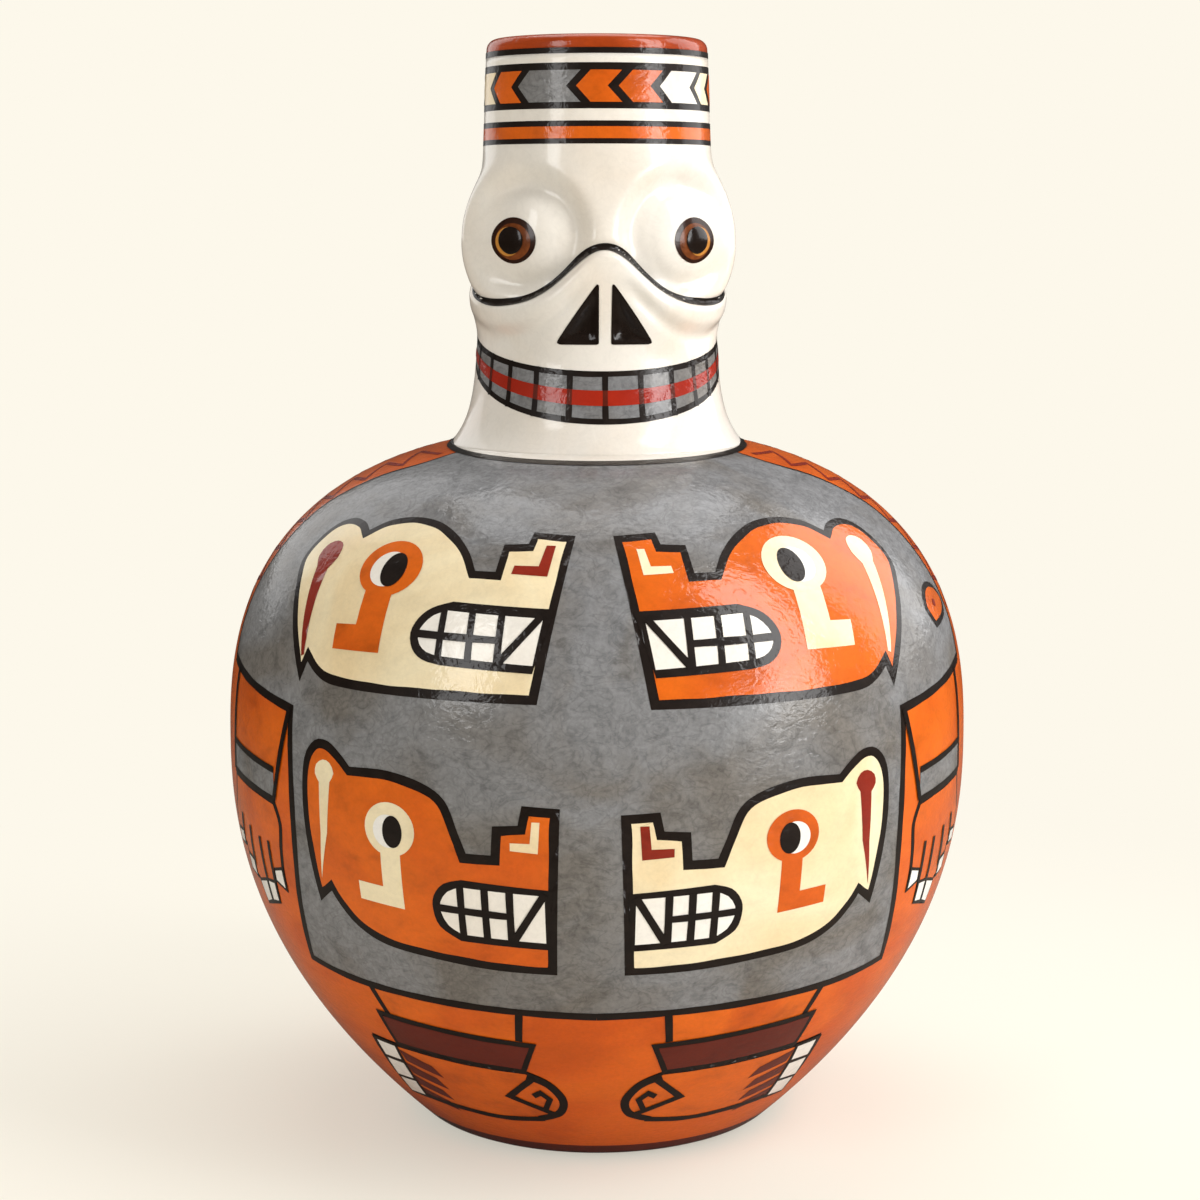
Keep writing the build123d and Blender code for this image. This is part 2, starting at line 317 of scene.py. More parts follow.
    def relief(self, a, z):
        """How far the modelled face stands out of the plain neck, at degrees from its middle."""
        aside = np.abs(a)
        line = self.brow(a)
        slope = (self.brow(a + 0.5) - self.brow(a - 0.5)) / DEGREE
        below = line - z
        front = 1.0 - eased(aside, *FRONT_RANGE)
        bottom = CHIN_HEIGHT + CHEEK_LIFT * eased(aside, *CHEEK_RANGE)
        swell = 1.0 - np.exp(-np.clip(below, 0.0, None) / 2.5)
        muzzle = self.muzzle_rise * front * swell * (1.0 - eased(below, 0.0, line - bottom))
        eyes = self.eye_relief(a, z, -1) + self.eye_relief(a, z, 1)
        crease = bell(below / np.sqrt(1.0 + slope**2), 0.0, CREASE_WIDTH)
        shallow = 1.0 - 0.6 * eased(aside, *SHALLOW_RANGE)
        roll = sum(rise * bell(below, *place) for rise, *place in (CHEEK_ROLL, CHEEK_DIP))
        beside_nose = eased(aside, *ROLL_START) * (1.0 - eased(aside, *ROLL_END))
        out = eyes * (1.0 - 0.85 * eased(below, 0.0, 5.0)) + muzzle
        out = out - CREASE_DEPTH * front * shallow * crease + roll * beside_nose
        return out - NOSTRIL_DEPTH * (self.nostril(a, z, -1) + self.nostril(a, z, 1))

    def body(self, across, up):
        """Points on the body, from lengths across at the belly and up the wall."""
        turn = across / self.belly_radius
        radius, height = self.body_point(up)
        return np.stack([radius * np.sin(turn), -radius * np.cos(turn), height], axis=-1)

    def head(self, across, height):
        """Points on the modelled head, from lengths across and heights."""
        turn = across / HEAD_ROLL
        radius = self.neck(height) + self.relief(np.degrees(turn) - self.turn, height)
        return np.stack([radius * np.sin(turn), -radius * np.cos(turn), height], axis=-1)


def facing(surface, across, up):
    """Outward normals of a surface."""
    step = 0.05
    right = surface(across + step, up) - surface(across - step, up)
    upward = surface(across, up + step) - surface(across, up - step)
    normal = np.cross(right, upward)
    return normal / np.linalg.norm(normal, axis=-1, keepdims=True)


# Materials. Sizes of the patterns are in mm

GRAIN_SIZE = 1.1  # sand in the slip, drawn about three times too coarse so that it shows
GRAIN_HEIGHT = 0.012
STRAND_SIZE = 7.0  # tangled marks of the brush
STAIN_SIZE = 48.0  # clouds from the firing
RIPPLE_SIZE = 5.0  # marks of the burnishing pebble
CRAZING_SIZE = 3.2  # mesh of the crazed polish, drawn without its hair-fine cracks
CLEAR = (1.0, 1.0, 1.0, 1.0)


def linear(hex_colour):
    """Linear RGBA of an sRGB hex colour."""
    parts = [int(hex_colour[i : i + 2], 16) / 255.0 for i in (1, 3, 5)]
    parts = [c / 12.92 if c <= 0.04045 else ((c + 0.055) / 1.055) ** 2.4 for c in parts]
    return (*parts, 1.0)


def shaded(hex_colour, factor):
    """The same colour made darker or lighter, as linear RGBA."""
    return (*[min(1.0, c * factor) for c in linear(hex_colour)[:3]], 1.0)


def per_metre(size):
    """Scale of a pattern whose features have this size in millimetres."""
    return 1000.0 / size


def add(tree, kind, inputs, **settings):
    """Adds a node. Inputs maps a socket to a value or to another node's output."""
    made = tree.nodes.new(kind)
    for name, value in settings.items():
        setattr(made, name, value)
    for name, value in inputs.items():
        if isinstance(value, bpy.types.NodeSocket):
            tree.links.new(value, made.inputs[name])
        else:
            made.inputs[name].default_value = value
    return made


def set_stops(ramp, stops):
    """Gives a colour ramp its stops, as pairs of place and linear colour."""
    elements = ramp.color_ramp.elements
    while len(elements) < len(stops):
        elements.new(0.5)
    for element, (place, tint) in zip(elements, stops):
        element.position = place
        element.color = tint


def empty_tree(owner):
    """The cleared node tree of a material or world."""
    owner.use_nodes = True
    owner.node_tree.nodes.clear()
    return owner.node_tree


def tones(name, deep, pale, low=0.25, middle=0.48, high=0.75):
    """Three stops from the deep to the pale side of one colour in the panel."""
    return ((low, name, deep), (middle, name, 1.0), (high, name, pale))


# Each slip: its made name, colour stops, size of its patches, streak, strength of its specks,
# and what differs from the usual settings
EYE_POLISH = {"roughness": 0.3, "coat": 0.5, "wrinkle": 0.01}
ASH = {"roughness": 0.5, "coat": 0.6, "swirl": 1.6, "fibre": 0.2, "stain": "#E3DACE"}
FACE_POLISH = {"roughness": 0.4, "coat": 0.7, "wrinkle": 0.012, "stain": "#FBF6F0"}
BEAD_POLISH = {"roughness": 0.2, "coat": 0.4, "wrinkle": 0.01}
UNPOLISHED = {"roughness": 0.75, "coat": 0.0, "wrinkle": 0.25}
GROUND_TONES = ((0.3, "ground", 0.82), (0.5, "ground", 1.0), (0.68, "orange", 1.0))
SLIPS = {
    # White slip, brushed on thick and burnished: warm, faintly stained and glossy
    "white": ("white_slip_burnished", tones("white", 0.93, 1.03), 22.0, 1.0, 0.03, FACE_POLISH),
    # White slip in one thin coat: a cooler, plainer white
    "tooth": ("tooth_slip_thin", tones("tooth", 0.92, 1.02), 9.0, 1.0, 0.05, {"stain": "#FBF7F2"}),
    # Cream slip, brushed: a yellow white with faint stains
    "cream": ("cream_slip_brushed", tones("cream", 0.9, 1.06), 12.0, 1.4, 0.05, {"stain": "#F7EEE2"}),
    # Orange slip, brushed in overlapping coats: brighter and redder patches side by side
    "orange": ("orange_slip_brushed", tones("orange", 0.7, 1.16), 12.0, 1.6, 0.07, {}),
    # Red-orange slip over the whole body: wide burnished bands that shift from red to orange
    "ground": ("ground_slip_burnished", GROUND_TONES, 45.0, 2.6, 0.08, {}),
    # Red-brown slip of the lip, burnished: even and smooth
    "lip": ("lip_slip_burnished", tones("lip", 0.75, 1.12), 18.0, 1.0, 0.06, {}),
    # Grey slip with coarse ash: cloudy and flecked, less polished than the others
    "grey": ("grey_slip_ashy", tones("grey", 0.66, 1.2), 10.0, 1.5, 0.2, ASH),
    # Dark red slip from one brush stroke: even, a little streaked
    "red": ("red_slip_brushed", tones("red", 0.8, 1.12), 7.0, 1.6, 0.08, {}),
    # Bright red slip of the mouth's stripe: even, laid over the dried grey
    "scarlet": ("scarlet_slip_brushed", tones("scarlet", 0.85, 1.1), 9.0, 1.6, 0.06, {}),
    # Maroon slip, brushed: dark and even
    "maroon": ("maroon_slip_brushed", tones("maroon", 0.82, 1.1), 10.0, 1.6, 0.08, {}),
    # Black-brown slip, laid with a fine brush: paler where it is thin
    "black": ("black_slip_brushed", tones("black", 0.8, 1.5), 6.0, 1.4, 0.1, {"coat": 0.45}),
    # Dark brown slip of the irises' rims, polished: smooth and deep
    "brown": ("brown_slip_polished", tones("brown", 0.7, 1.3), 3.0, 1.0, 0.1, EYE_POLISH),
    # Amber slip of the irises, polished: a warm ring with paler glints
    "amber": ("amber_slip_polished", tones("amber", 0.55, 1.7, 0.3, 0.5, 0.72), 4.0, 1.0, 0.1, EYE_POLISH),
    # Yellow slip of the crescent beside each pupil, polished: a small bright glint
    "gold": ("gold_slip_polished", tones("gold", 0.8, 1.15), 3.0, 1.0, 0.1, EYE_POLISH),
    # Black slip polished to a bead: the glossiest spot on the jar
    "pupil": ("pupil_slip_bead", tones("black", 0.5, 0.9), 3.0, 1.0, 0.05, BEAD_POLISH),
    # Fired clay without slip: dull, sandy and marked by the potter's fingers
    "clay": ("bare_fired_clay", tones("clay", 0.75, 1.15), 10.0, 3.0, 0.25, UNPOLISHED),
}


def slip(name):
    """A slip from the table, made when it is first used."""
    made_name, stops, patch, streak, speck, settings = SLIPS[name]
    if made_name not in bpy.data.materials:
        burnish(bpy.data.materials.new(made_name), stops, patch, streak, speck, **settings)
    return bpy.data.materials[made_name]


def burnish(
    made, stops, patch, streak, speck,
    roughness=0.45, coat=0.75, wrinkle=0.04, swirl=0.3, fibre=0.03, stain="#F0E2D4",
):
    """Brushed patches of colour, specks, fibres and stains under a finely crazed polish."""
    tree = empty_tree(made)
    colours = bpy.context.scene.jar_colours
    place = add(tree, "ShaderNodeTexCoord", {}).outputs["Object"]
    brushed = add(tree, "ShaderNodeMapping", {"Vector": place, "Scale": (1.0, 1.0, streak)}).outputs[0]
    patches, grain, strands, stains, ripple, crazing = [
        add(tree, "ShaderNodeTexNoise", {"Vector": vector, "Scale": per_metre(size), **more}).outputs["Fac"]
        for vector, size, more in (
            (brushed, patch, {"Detail": 6.0, "Roughness": 0.62, "Distortion": swirl}),
            (place, GRAIN_SIZE, {"Detail": 3.0, "Roughness": 0.7}),
            (brushed, STRAND_SIZE, {"Detail": 3.0, "Distortion": 1.6}),
            (brushed, STAIN_SIZE, {"Detail": 5.0, "Distortion": 1.0}),
            (brushed, RIPPLE_SIZE, {"Detail": 4.0, "Roughness": 0.6}),
            (brushed, CRAZING_SIZE, {"Detail": 2.0, "Distortion": 1.2}),
        )
    ]
    dark_grain, dark_strand = [(1.0 - share,) * 3 + (1.0,) for share in (speck, fibre)]
    tint = None
    for pattern, pattern_stops in (
        (patches, [(at, shaded(getattr(colours, name), share)) for at, name, share in stops]),
        (grain, ((0.32, dark_grain), (0.6, CLEAR))),
        (strands, ((0.44, CLEAR), (0.5, dark_strand), (0.56, CLEAR))),
        (stains, ((0.36, linear(stain)), (0.56, CLEAR))),
    ):
        ramp = add(tree, "ShaderNodeValToRGB", {"Fac": pattern})
        set_stops(ramp, pattern_stops)
        layer = ramp.outputs["Color"]
        if tint is not None:
            inputs = {0: 1.0, 6: tint, 7: layer}
            layer = add(tree, "ShaderNodeMix", inputs, data_type="RGBA", blend_type="MULTIPLY").outputs[2]
        tint = layer
    normals = []
    for height, depth in ((ripple, wrinkle), (grain, GRAIN_HEIGHT), (crazing, 4.0 * wrinkle)):
        inputs = {"Height": height, "Strength": 1.0, "Distance": depth * MM}
        if normals:
            inputs["Normal"] = normals[0]
        normals.append(add(tree, "ShaderNodeBump", inputs).outputs["Normal"])
    polish = add(
        tree,
        "ShaderNodeMapRange",
        {"Value": patches, 1: 0.3, 2: 0.7, 3: roughness - 0.06, 4: roughness + 0.08},
    )
    shader = add(
        tree,
        "ShaderNodeBsdfPrincipled",
        {
            "Base Color": tint,
            "Roughness": polish.outputs["Result"],
            "IOR": 1.5,
            "Specular IOR Level": 0.12,
            "Coat Weight": coat,
            "Coat Roughness": 0.11,
            "Coat Normal": normals[2],
            "Normal": normals[1],
        },
    )
    add(tree, "ShaderNodeOutputMaterial", {"Surface": shader.outputs["BSDF"]})


# Flat drawings in slip


def trace(start, *runs):
    """Points along an outline: straight to a single point, in a smooth curve through several."""
    path = [np.array(start, float)]
    for run in runs:
        points = [run] if np.ndim(run) == 1 else run
        knots = [path[-1]] + [np.array(point, float) for point in points]
        before = [knots[0]] + knots[:-1]
        after = knots[1:] + [knots[-1]]
        slopes = [(b - a) / 2.0 for a, b in zip(before, after)]
        if len(points) == 1:
            slopes = [knots[1] - knots[0]] * 2
        for p0, p1, m0, m1 in zip(knots, knots[1:], slopes, slopes[1:]):
            count = max(2, math.ceil(np.linalg.norm(p1 - p0) / 2.0))
            for i in range(1, count + 1):
                t = i / count
                start_part = (2 * t**3 - 3 * t**2 + 1) * p0 + (t**3 - 2 * t**2 + t) * m0
                path.append(start_part + (3 * t**2 - 2 * t**3) * p1 + (t**3 - t**2) * m1)
    if np.linalg.norm(path[-1] - path[0]) < 1e-6:
        path.pop()
    return np.array(path)


def polygon(*corners):
    """Points along straight sides."""
    return trace(*corners, corners[0])


def oval(centre, half_width, half_height, first=0.0, last=360.0):
    """Points round an oval, or round a part of it between two angles in degrees."""
    whole = last - first >= 360.0
    turn = np.radians(np.linspace(first, last, 41))[: 40 if whole else 41]
    across, up = half_width * np.cos(turn), half_height * np.sin(turn)
    return np.stack([centre[0] + across, centre[1] + up], axis=-1)


def beside(path, distances, closed):
    """The path moved sideways, to its left where the distance is positive, with mitred corners."""
    before = np.roll(path, 1, axis=0)
    after = np.roll(path, -1, axis=0)
    if not closed:
        before[0] = 2 * path[0] - path[1]
        after[-1] = 2 * path[-1] - path[-2]
    incoming = path - before
    outgoing = after - path
    incoming = incoming / np.linalg.norm(incoming, axis=1, keepdims=True)
    outgoing = outgoing / np.linalg.norm(outgoing, axis=1, keepdims=True)
    middle = incoming + outgoing
    middle = middle / np.maximum(np.linalg.norm(middle, axis=1, keepdims=True), 1e-6)
    left = np.stack([-middle[:, 1], middle[:, 0]], axis=1)
    lean = np.maximum((middle * incoming).sum(axis=1), 0.45)
    return path + left * (distances / lean)[:, None]


def brushed_width(width, run, long_wave, short_wave):
    """Widths of a brush line, which swell and thin a little along its run."""
    return width * (1.0 + long_wave * np.sin(run / 5.3) + short_wave * np.sin(run / 2.1 + 1.0))


def inset(path, width):
    """The closed path moved inward, without the loops that sharp corners would give."""
    ends = np.roll(path, -1, axis=0)
    along = ends - path
    area = (path[:, 0] * ends[:, 1] - path[:, 1] * ends[:, 0]).sum()
    widths = brushed_width(width, np.cumsum(np.linalg.norm(along, axis=1)), 0.04, 0.03)
    kept = []
    for point in beside(path, widths if area > 0.0 else -widths, True):
        share = np.clip(((point - path) * along).sum(axis=1) / (along**2).sum(axis=1), 0.0, 1.0)
        gaps = np.linalg.norm(point - path - share[:, None] * along, axis=1)
        if gaps.min() > 0.9 * width:
            kept.append(point)
    return np.array(kept)


class Drawing:
    """Slip shapes laid out flat in millimetres, then cut finely and bent round the jar as one piece."""

    def __init__(self, surface, grid, across=1.0, shift=0.0, up=1.0, level=0.0):
        self.mesh = bmesh.new()
        self.surface = surface
        self.grid = grid
        self.across = across
        self.shift = shift
        self.up = up
        self.level = level
        self.slips = []

    def place(self, u, v):
        """A drawn point, mirrored or stretched if the drawing is."""
        return self.across * u + self.shift, self.level + self.up * (v - self.level)

    def face(self, corners, paint, coats):
        """One flat face of slip, on top of a number of coats."""
        verts = [self.mesh.verts.new((*self.place(u, v), coats * COAT)) for u, v in corners]
        made = self.mesh.faces.new(verts)
        made.normal_update()
        if made.normal.z < 0.0:
            made.normal_flip()
        if paint not in self.slips:
            self.slips.append(paint)
        made.material_index = self.slips.index(paint)
        made.smooth = True

    def outlined(self, path, width, paint, coats):
        """A closed shape with a black brush line along its inside."""
        self.face(path, "black", coats)
        self.face(inset(path, width), paint, coats + 1)

    def line(self, path, width, coats, paint="black", taper=0.0):
        """A brush line along an open path, thinner towards its ends if it has a taper."""
        steps = np.linalg.norm(np.diff(path, axis=0), axis=1)
        run = np.concatenate([[0.0], np.cumsum(steps)])
        widths = brushed_width(width, run, 0.05, 0.04)
        if taper > 0.0:
            widths = widths * np.clip(np.minimum(run, run[-1] - run) / taper, 0.2, 1.0)
        upper, lower = beside(path, widths / 2.0, False), beside(path, -widths / 2.0, False)
        for corners in zip(upper, upper[1:], lower[1:], lower):
            self.face(corners, paint, coats)

    def stroke(self, width, coats, *points, paint="black"):
        """A straight-sided brush line through a few points."""
        self.line(trace(*points), width, coats, paint)

    def cut(self):
        """Cuts the flat faces along a square grid, so that they can bend."""
        bmesh.ops.triangulate(self.mesh, faces=self.mesh.faces[:], ngon_method="EAR_CLIP")
        for axis in (0, 1):
            places = [vert.co[axis] for vert in self.mesh.verts]
            first = math.ceil(min(places) / self.grid)
            last = math.floor(max(places) / self.grid)
            along = Vector((1.0 - axis, axis, 0.0))
            for step in range(first, last + 1):
                bmesh.ops.bisect_plane(
                    self.mesh,
                    geom=self.mesh.verts[:] + self.mesh.edges[:] + self.mesh.faces[:],
                    dist=1e-5,
                    plane_co=along * (step * self.grid),
                    plane_no=along,
                )

    def piece(self, name, slot, dome=None):
        """The drawing bent round the jar. A dome gives extra height from the flat places."""
        self.cut()
        u, v, lift = np.array([vert.co for vert in self.mesh.verts]).T
        if dome is not None:
            lift = lift + dome(u, v)
        normals = facing(self.surface, u, v)
        for vert, place in zip(self.mesh.verts, self.surface(u, v) + normals * lift[:, None]):
            vert.co = place * MM
        return finished(name, self.mesh, self.slips, normals if dome is None else None)


def finished(name, mesh, slips, normals=None):
    """A mesh as a piece of the jar, with its slips and, where they are given, its own normals."""
    data = bpy.data.meshes.new(name)
    mesh.to_mesh(data)
    mesh.free()
    if normals is not None:
        data.normals_split_custom_set_from_vertices(normals.tolist())
    for paint in slips:
        data.materials.append(slip(paint))
    piece = bpy.data.objects.new(name, data)
    bpy.context.scene.collection.objects.link(piece)
    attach(piece, "root")
    return piece


def turned(section, steps, closed):
    """A mesh made by spinning a section of radii and heights round the jar's axis."""
    mesh = bmesh.new()
    verts = [mesh.verts.new((r * MM, 0.0, z * MM)) for r, z in section]
    ends = verts[1:] + verts[:1] if closed else verts[1:]
    edges = [mesh.edges.new(pair) for pair in zip(verts, ends)]
    bmesh.ops.spin(
        mesh,
        geom=verts + edges,
        cent=(0.0, 0.0, 0.0),
        axis=(0.0, 0.0, 1.0),
        angle=math.tau,
        steps=steps,
        use_merge=True,
    )
    bmesh.ops.remove_doubles(mesh, verts=mesh.verts[:], dist=1e-6)
    bmesh.ops.recalc_face_normals(mesh, faces=mesh.faces[:])
    for face in mesh.faces:
        face.smooth = True
    return mesh


# Drawings, in millimetres across the belly from the front's middle and up the wall from the base

# Widths of the brush lines
HEAD_LINE = 2.4
TOOTH_LINE = 1.9
TUNIC_LINE = 2.3
SHOULDER_LINE = 1.3
SAW_LINE = 1.6
DROP_LINE = 1.7
CREASE_LINE = 2.1
MOUTH_LINE = 1.5
STRIPE_LINE = 1.2
SLEEVE_LINE = 1.8
CUFF_LINE = 1.7
HAND_LINE = 1.5
NAIL_LINE = 0.9
FINGER_LINE = 1.4
OUTER_LEG_LINE = 2.0
INNER_LEG_LINE = 2.2
ANKLE_LINE = 1.8
FOOT_LINE = 1.6
HEEL_LINE = 3.0
SOLE_LINE = 2.4
SPIRAL_LINE = 2.3
SPIRAL_END_LINE = 2.1

# The two animal heads on the left side. An eye is its middle, half width and half height
UPPER_HEAD = {
    "outline": trace(
        *((-15, 151.5), (-7, 197.5), (-21, 198.5), (-22, 194.5), (-30, 194), (-30.5, 185.5), (-37, 185.5)),
        [(-41, 191), (-48, 196.5), (-57.5, 200.5), (-68.5, 201.5), (-79, 199.5), (-86, 195)],
        [(-91.5, 197.5), (-100.5, 198), (-108, 193.5), (-111, 183), (-104, 173), (-88.5, 151)],
        (-86.5, 156.5),
        [(-82.5, 154), (-76.5, 152), (-65, 151.5)],
        (-15, 151.5),
    ),
    "ear": trace(
        (-93.2, 181.5),
        [(-91.5, 185), (-93, 189), (-97.5, 190), (-101.5, 188), (-102, 184.5), (-99.3, 181.5)],
        *((-89.8, 157.5), (-88.6, 158), (-93.2, 181.5)),
    ),
    "eye": ((-66.5, 184.5), 11.5, 8.3),
    "ball": ((-67, 184), 6.6, 5.2),
    "stem": ((-72, 178), (-71, 168), (-78.5, 167.5), (-77.5, 161), (-61, 161.5), (-62, 178)),
    "snout_mark": ((-16, 194), (-13, 194), (-14.5, 184.5), (-25.5, 185), (-25, 187.5), (-17.5, 187.5)),
    "mouth": trace(
        *((-11.5, 175.5), (-41, 176.5)),
        [(-47, 174.5), (-50.5, 171.5), (-52, 167.5), (-50.5, 163.5), (-47, 161), (-41.5, 160)],
        *((-16.5, 159), (-11.5, 175.5)),
    ),
    "teeth": trace(
        *((-14.5, 173), (-42, 174)),
        [(-46, 172.5), (-48.5, 170), (-49.5, 167.5), (-48.5, 164.8), (-46, 163), (-42.5, 162.3)],
        *((-16.5, 161), (-14.5, 173)),
    ),
    "tooth_lines": (
        ((-43, 174), (-42.5, 162)),
        ((-34.5, 174), (-34, 161.5)),
        ((-26, 174), (-26, 161)),
        ((-50, 167.5), (-25.5, 167)),
        ((-15, 173.5), (-25.5, 161.5)),
    ),
}
LOWER_HEAD = {
    "outline": trace(
        *((-10.5, 81), (-9, 126), (-18.5, 126.5), (-19.5, 121.5), (-26, 121), (-26.5, 113.5), (-33, 113.5)),
        [(-35, 118.5), (-38.5, 126.5), (-45, 130.5), (-55.5, 132.5), (-67, 132)],
        [(-70.5, 135), (-75, 137.5), (-80, 137), (-84, 132), (-85, 122), (-84, 109), (-82, 93.5)],
        (-76.5, 97.5),
        [(-74.5, 94.5), (-69, 89), (-60, 85), (-44, 83), (-27.5, 81.5), (-10.5, 81)],
    ),
    "ear": trace(
        (-74, 127),
        [(-72.5, 129.5), (-74, 132), (-76.5, 132.5), (-79, 131), (-79.5, 128.5), (-78, 126.5)],
        *((-78, 113), (-79.5, 100.5), (-75.5, 113.5), (-74, 127)),
    ),
    "eye": ((-54.5, 117.5), 7.5, 7.0),
    "ball": ((-55, 117), 4.4, 4.3),
    "stem": ((-57.5, 112), (-57.5, 102), (-65.5, 102.5), (-65.5, 97.5), (-51.5, 96.5), (-51.5, 112)),
    "snout_mark": ((-16, 122.5), (-14, 122.5), (-14.5, 114.5), (-21.5, 115), (-21.5, 117), (-16.5, 117)),
    "mouth": trace(
        *((-11, 105), (-34.5, 106.5)),
        [(-39.5, 105), (-42.5, 101.5), (-43, 97.5), (-41.5, 93), (-36, 89.5)],
        *((-12, 88.5), (-11, 105)),
    ),
    "teeth": trace(
        *((-13, 103.5), (-35, 104.5)),
        [(-38.5, 103), (-40.7, 100), (-40.7, 97), (-39, 93.7), (-35.5, 91.5)],
        *((-13, 90.5), (-13, 103.5)),
    ),
    "tooth_lines": (
        ((-35, 105), (-35, 91)),
        ((-28.5, 104.5), (-28.5, 91)),
        ((-22, 104.5), (-22, 90.5)),
        ((-42, 98.5), (-21.5, 97.5)),
        ((-13, 104), (-21.5, 90.5)),
    ),
}

# The four heads: stretch across, shift, stretch up and the height that stays, whether it is cream,
# how far the eye is moved and the ear raised, and the sizes of the snout's mark and the mouth
HEADS = (
    ("upper_left", UPPER_HEAD, (1.0, 0.0, 1.0, 198.0), True, (0.0, 0.0), 0.0, 1.0, 1.0),
    ("upper_right", UPPER_HEAD, (-1.015, -1.6, 1.025, 198.0), False, (1.6, 2.0), 2.0, 0.82, 1.0),
    ("lower_left", LOWER_HEAD, (1.0, 0.0, 1.0, 81.0), False, (0.0, 0.0), 0.0, 1.0, 1.0),
    ("lower_right", LOWER_HEAD, (-1.028, -3.3, 0.967, 81.0), True, (1.4, 0.0), -0.8, 1.12, 0.91),
)

# Edges of the tunic, right half
FRONT_HEM = ((0, 67.5), (70, 70), (97.5, 72.5))
FRONT_SIDE = ((97.5, 72.5), (93.5, 88), (90, 111), (91, 143.5))
FRONT_SLEEVE_TOP = ((91, 143.5), (115, 146.5), (138, 150))
BACK_HEM = ((0, 67.5), (85, 70), (125, 72.5))
BACK_SIDE = ((125, 72.5), (122, 90), (121, 115), (122, 146))
BACK_SLEEVE_TOP = ((122, 146), (138, 150))
SHOULDER_EDGE = ((138, 150), (141, 165), (138, 195), (132, 205.5), (122.5, 216), (109, 226), (104, 238))

# The left arm
SLEEVE = ((-91.5, 143.5), (-99, 126), (-129.5, 128.5), (-129, 148.5))
CUFF = ((-99, 126), (-99, 118), (-129.5, 120.5), (-129.5, 128.5))
HAND = trace(
    (-99, 118),
    [(-96, 112), (-97, 105), (-98, 99.5)],
    *((-98.5, 92), (-105, 94), (-106, 87), (-118, 84), (-120, 91), (-126.5, 92.5), (-127, 99), (-134, 99)),
    (-135, 105),
    [(-134, 109), (-131, 115), (-129.5, 120.5)],
    (-99, 118),
)
FINGER_NAILS = (
    ((-98.5, 99.5), (-98.5, 92), (-105, 94), (-104.5, 98)),
    ((-105.5, 94), (-106, 87), (-112, 86), (-111.5, 93.5)),
    ((-111.5, 93.5), (-112, 86), (-118, 84), (-119.5, 91.5)),
    ((-120, 97), (-120.5, 91), (-126.5, 92.5), (-126, 98)),
    ((-126.5, 104), (-127, 99), (-134, 99), (-134, 103.5)),
)
FINGERS = (
    ((-105, 105.5), (-105.5, 94)),
    ((-111, 105.5), (-111.5, 93.5)),
    ((-118, 107), (-120, 95)),
    ((-125, 109), (-127, 102)),
)

# The left leg and foot
LEG = ((-71.5, 69.5), (-69, 60), (-24, 57.5), (-22.5, 67.5))
ANKLE_BAND = polygon((-74, 61), (-18.5, 57), (-24, 44.5), (-73, 47.5))
FOOT = trace(
    *((-85, 49), (-73, 48), (-24, 45.5)),
    [(-16, 41), (-11, 32.5), (-14, 24.5), (-24, 21)],
    [(-41, 19.5), (-61, 20.5), (-80, 21.5)],
    *((-92, 21), (-85, 49)),
)
TOE_STRIP = np.array(((-74, 45.5), (-61.5, 41.1), (-59, 36.5), (-74, 40.5)))
TOE_STEP = np.array((-1.5, -5.8))  # from one toe strip to the next
NAIL_BED = ((-85.5, 48.5), (-73.5, 47.5), (-79, 21.5), (-91.5, 21.5))
TOE_NAILS = (
    ((-83.5, 47), (-75, 46.5), (-76.5, 40.5), (-85, 40.5)),
    ((-85.5, 39), (-76.8, 38.8), (-78.3, 31.6), (-88.2, 31)),
    ((-88, 29.7), (-78.5, 30.2), (-80.3, 23.2), (-90, 22.7)),
)
HEEL = trace((-24, 43.4), [(-17, 39.8), (-12.7, 32.5), (-15.4, 25.8), (-24, 22.2)])
SOLE = trace((-22, 22.3), [(-41, 20.6), (-61, 21.6), (-79, 22.8)])
SPIRAL = ((-22, 42.5), (-33, 33), (-17, 25.5))
SPIRAL_END = ((-23.5, 34.2), (-20.5, 36), (-17.5, 33), (-20, 28))

# The drop at the right shoulder, and the saw-toothed line on half a shoulder strip
DROP_CURVE = [(117.5, 166.5), (121, 171.5), (128, 173), (135, 171), (138.5, 166.5), (134, 162.5)]
DROP = trace((121.5, 160.5), [*DROP_CURVE, (121.5, 160.5)])
DROP_DOT = oval((126.5, 167.0), 1.3, 1.1)
SAW_START = (17.0, 163.0)
SAW_HEIGHTS = np.arange(170.0, 232.0, 10.0)
SAW_SHARES = (0.3, 0.85)  # of the half strip's width, at a tooth's root and tip
SAW_SLANT = 2.0  # how much higher the tip is

# The line round the neck's foot: height at the sides, dip at front and back, and half width at both
NECKLINE_HEIGHT = 0.6
NECKLINE_DIP = 7.0
NECKLINE_HALF = 0.8
NECKLINE_DIP_HALF = 0.9  # more of it at front and back

# Rings of an iris: slip, coats, how far out and up in mm, and half sizes as shares of the iris's radius
IRIS_RINGS = (
    ("brown", 2, 0.0, 0.0, 1.1, 0.97),
    ("amber", 3, 0.0, -0.3, 0.88, 0.77),
    ("gold", 4, 1.3, -0.3, 0.65, 0.61),
)
PUPIL_OUT = 0.4  # how far the pupil sits out from the iris's middle
PUPIL_SHARES = (1.05, 0.97)  # half sizes as shares of the pupil's radius
BEAD_HEIGHT = 0.45

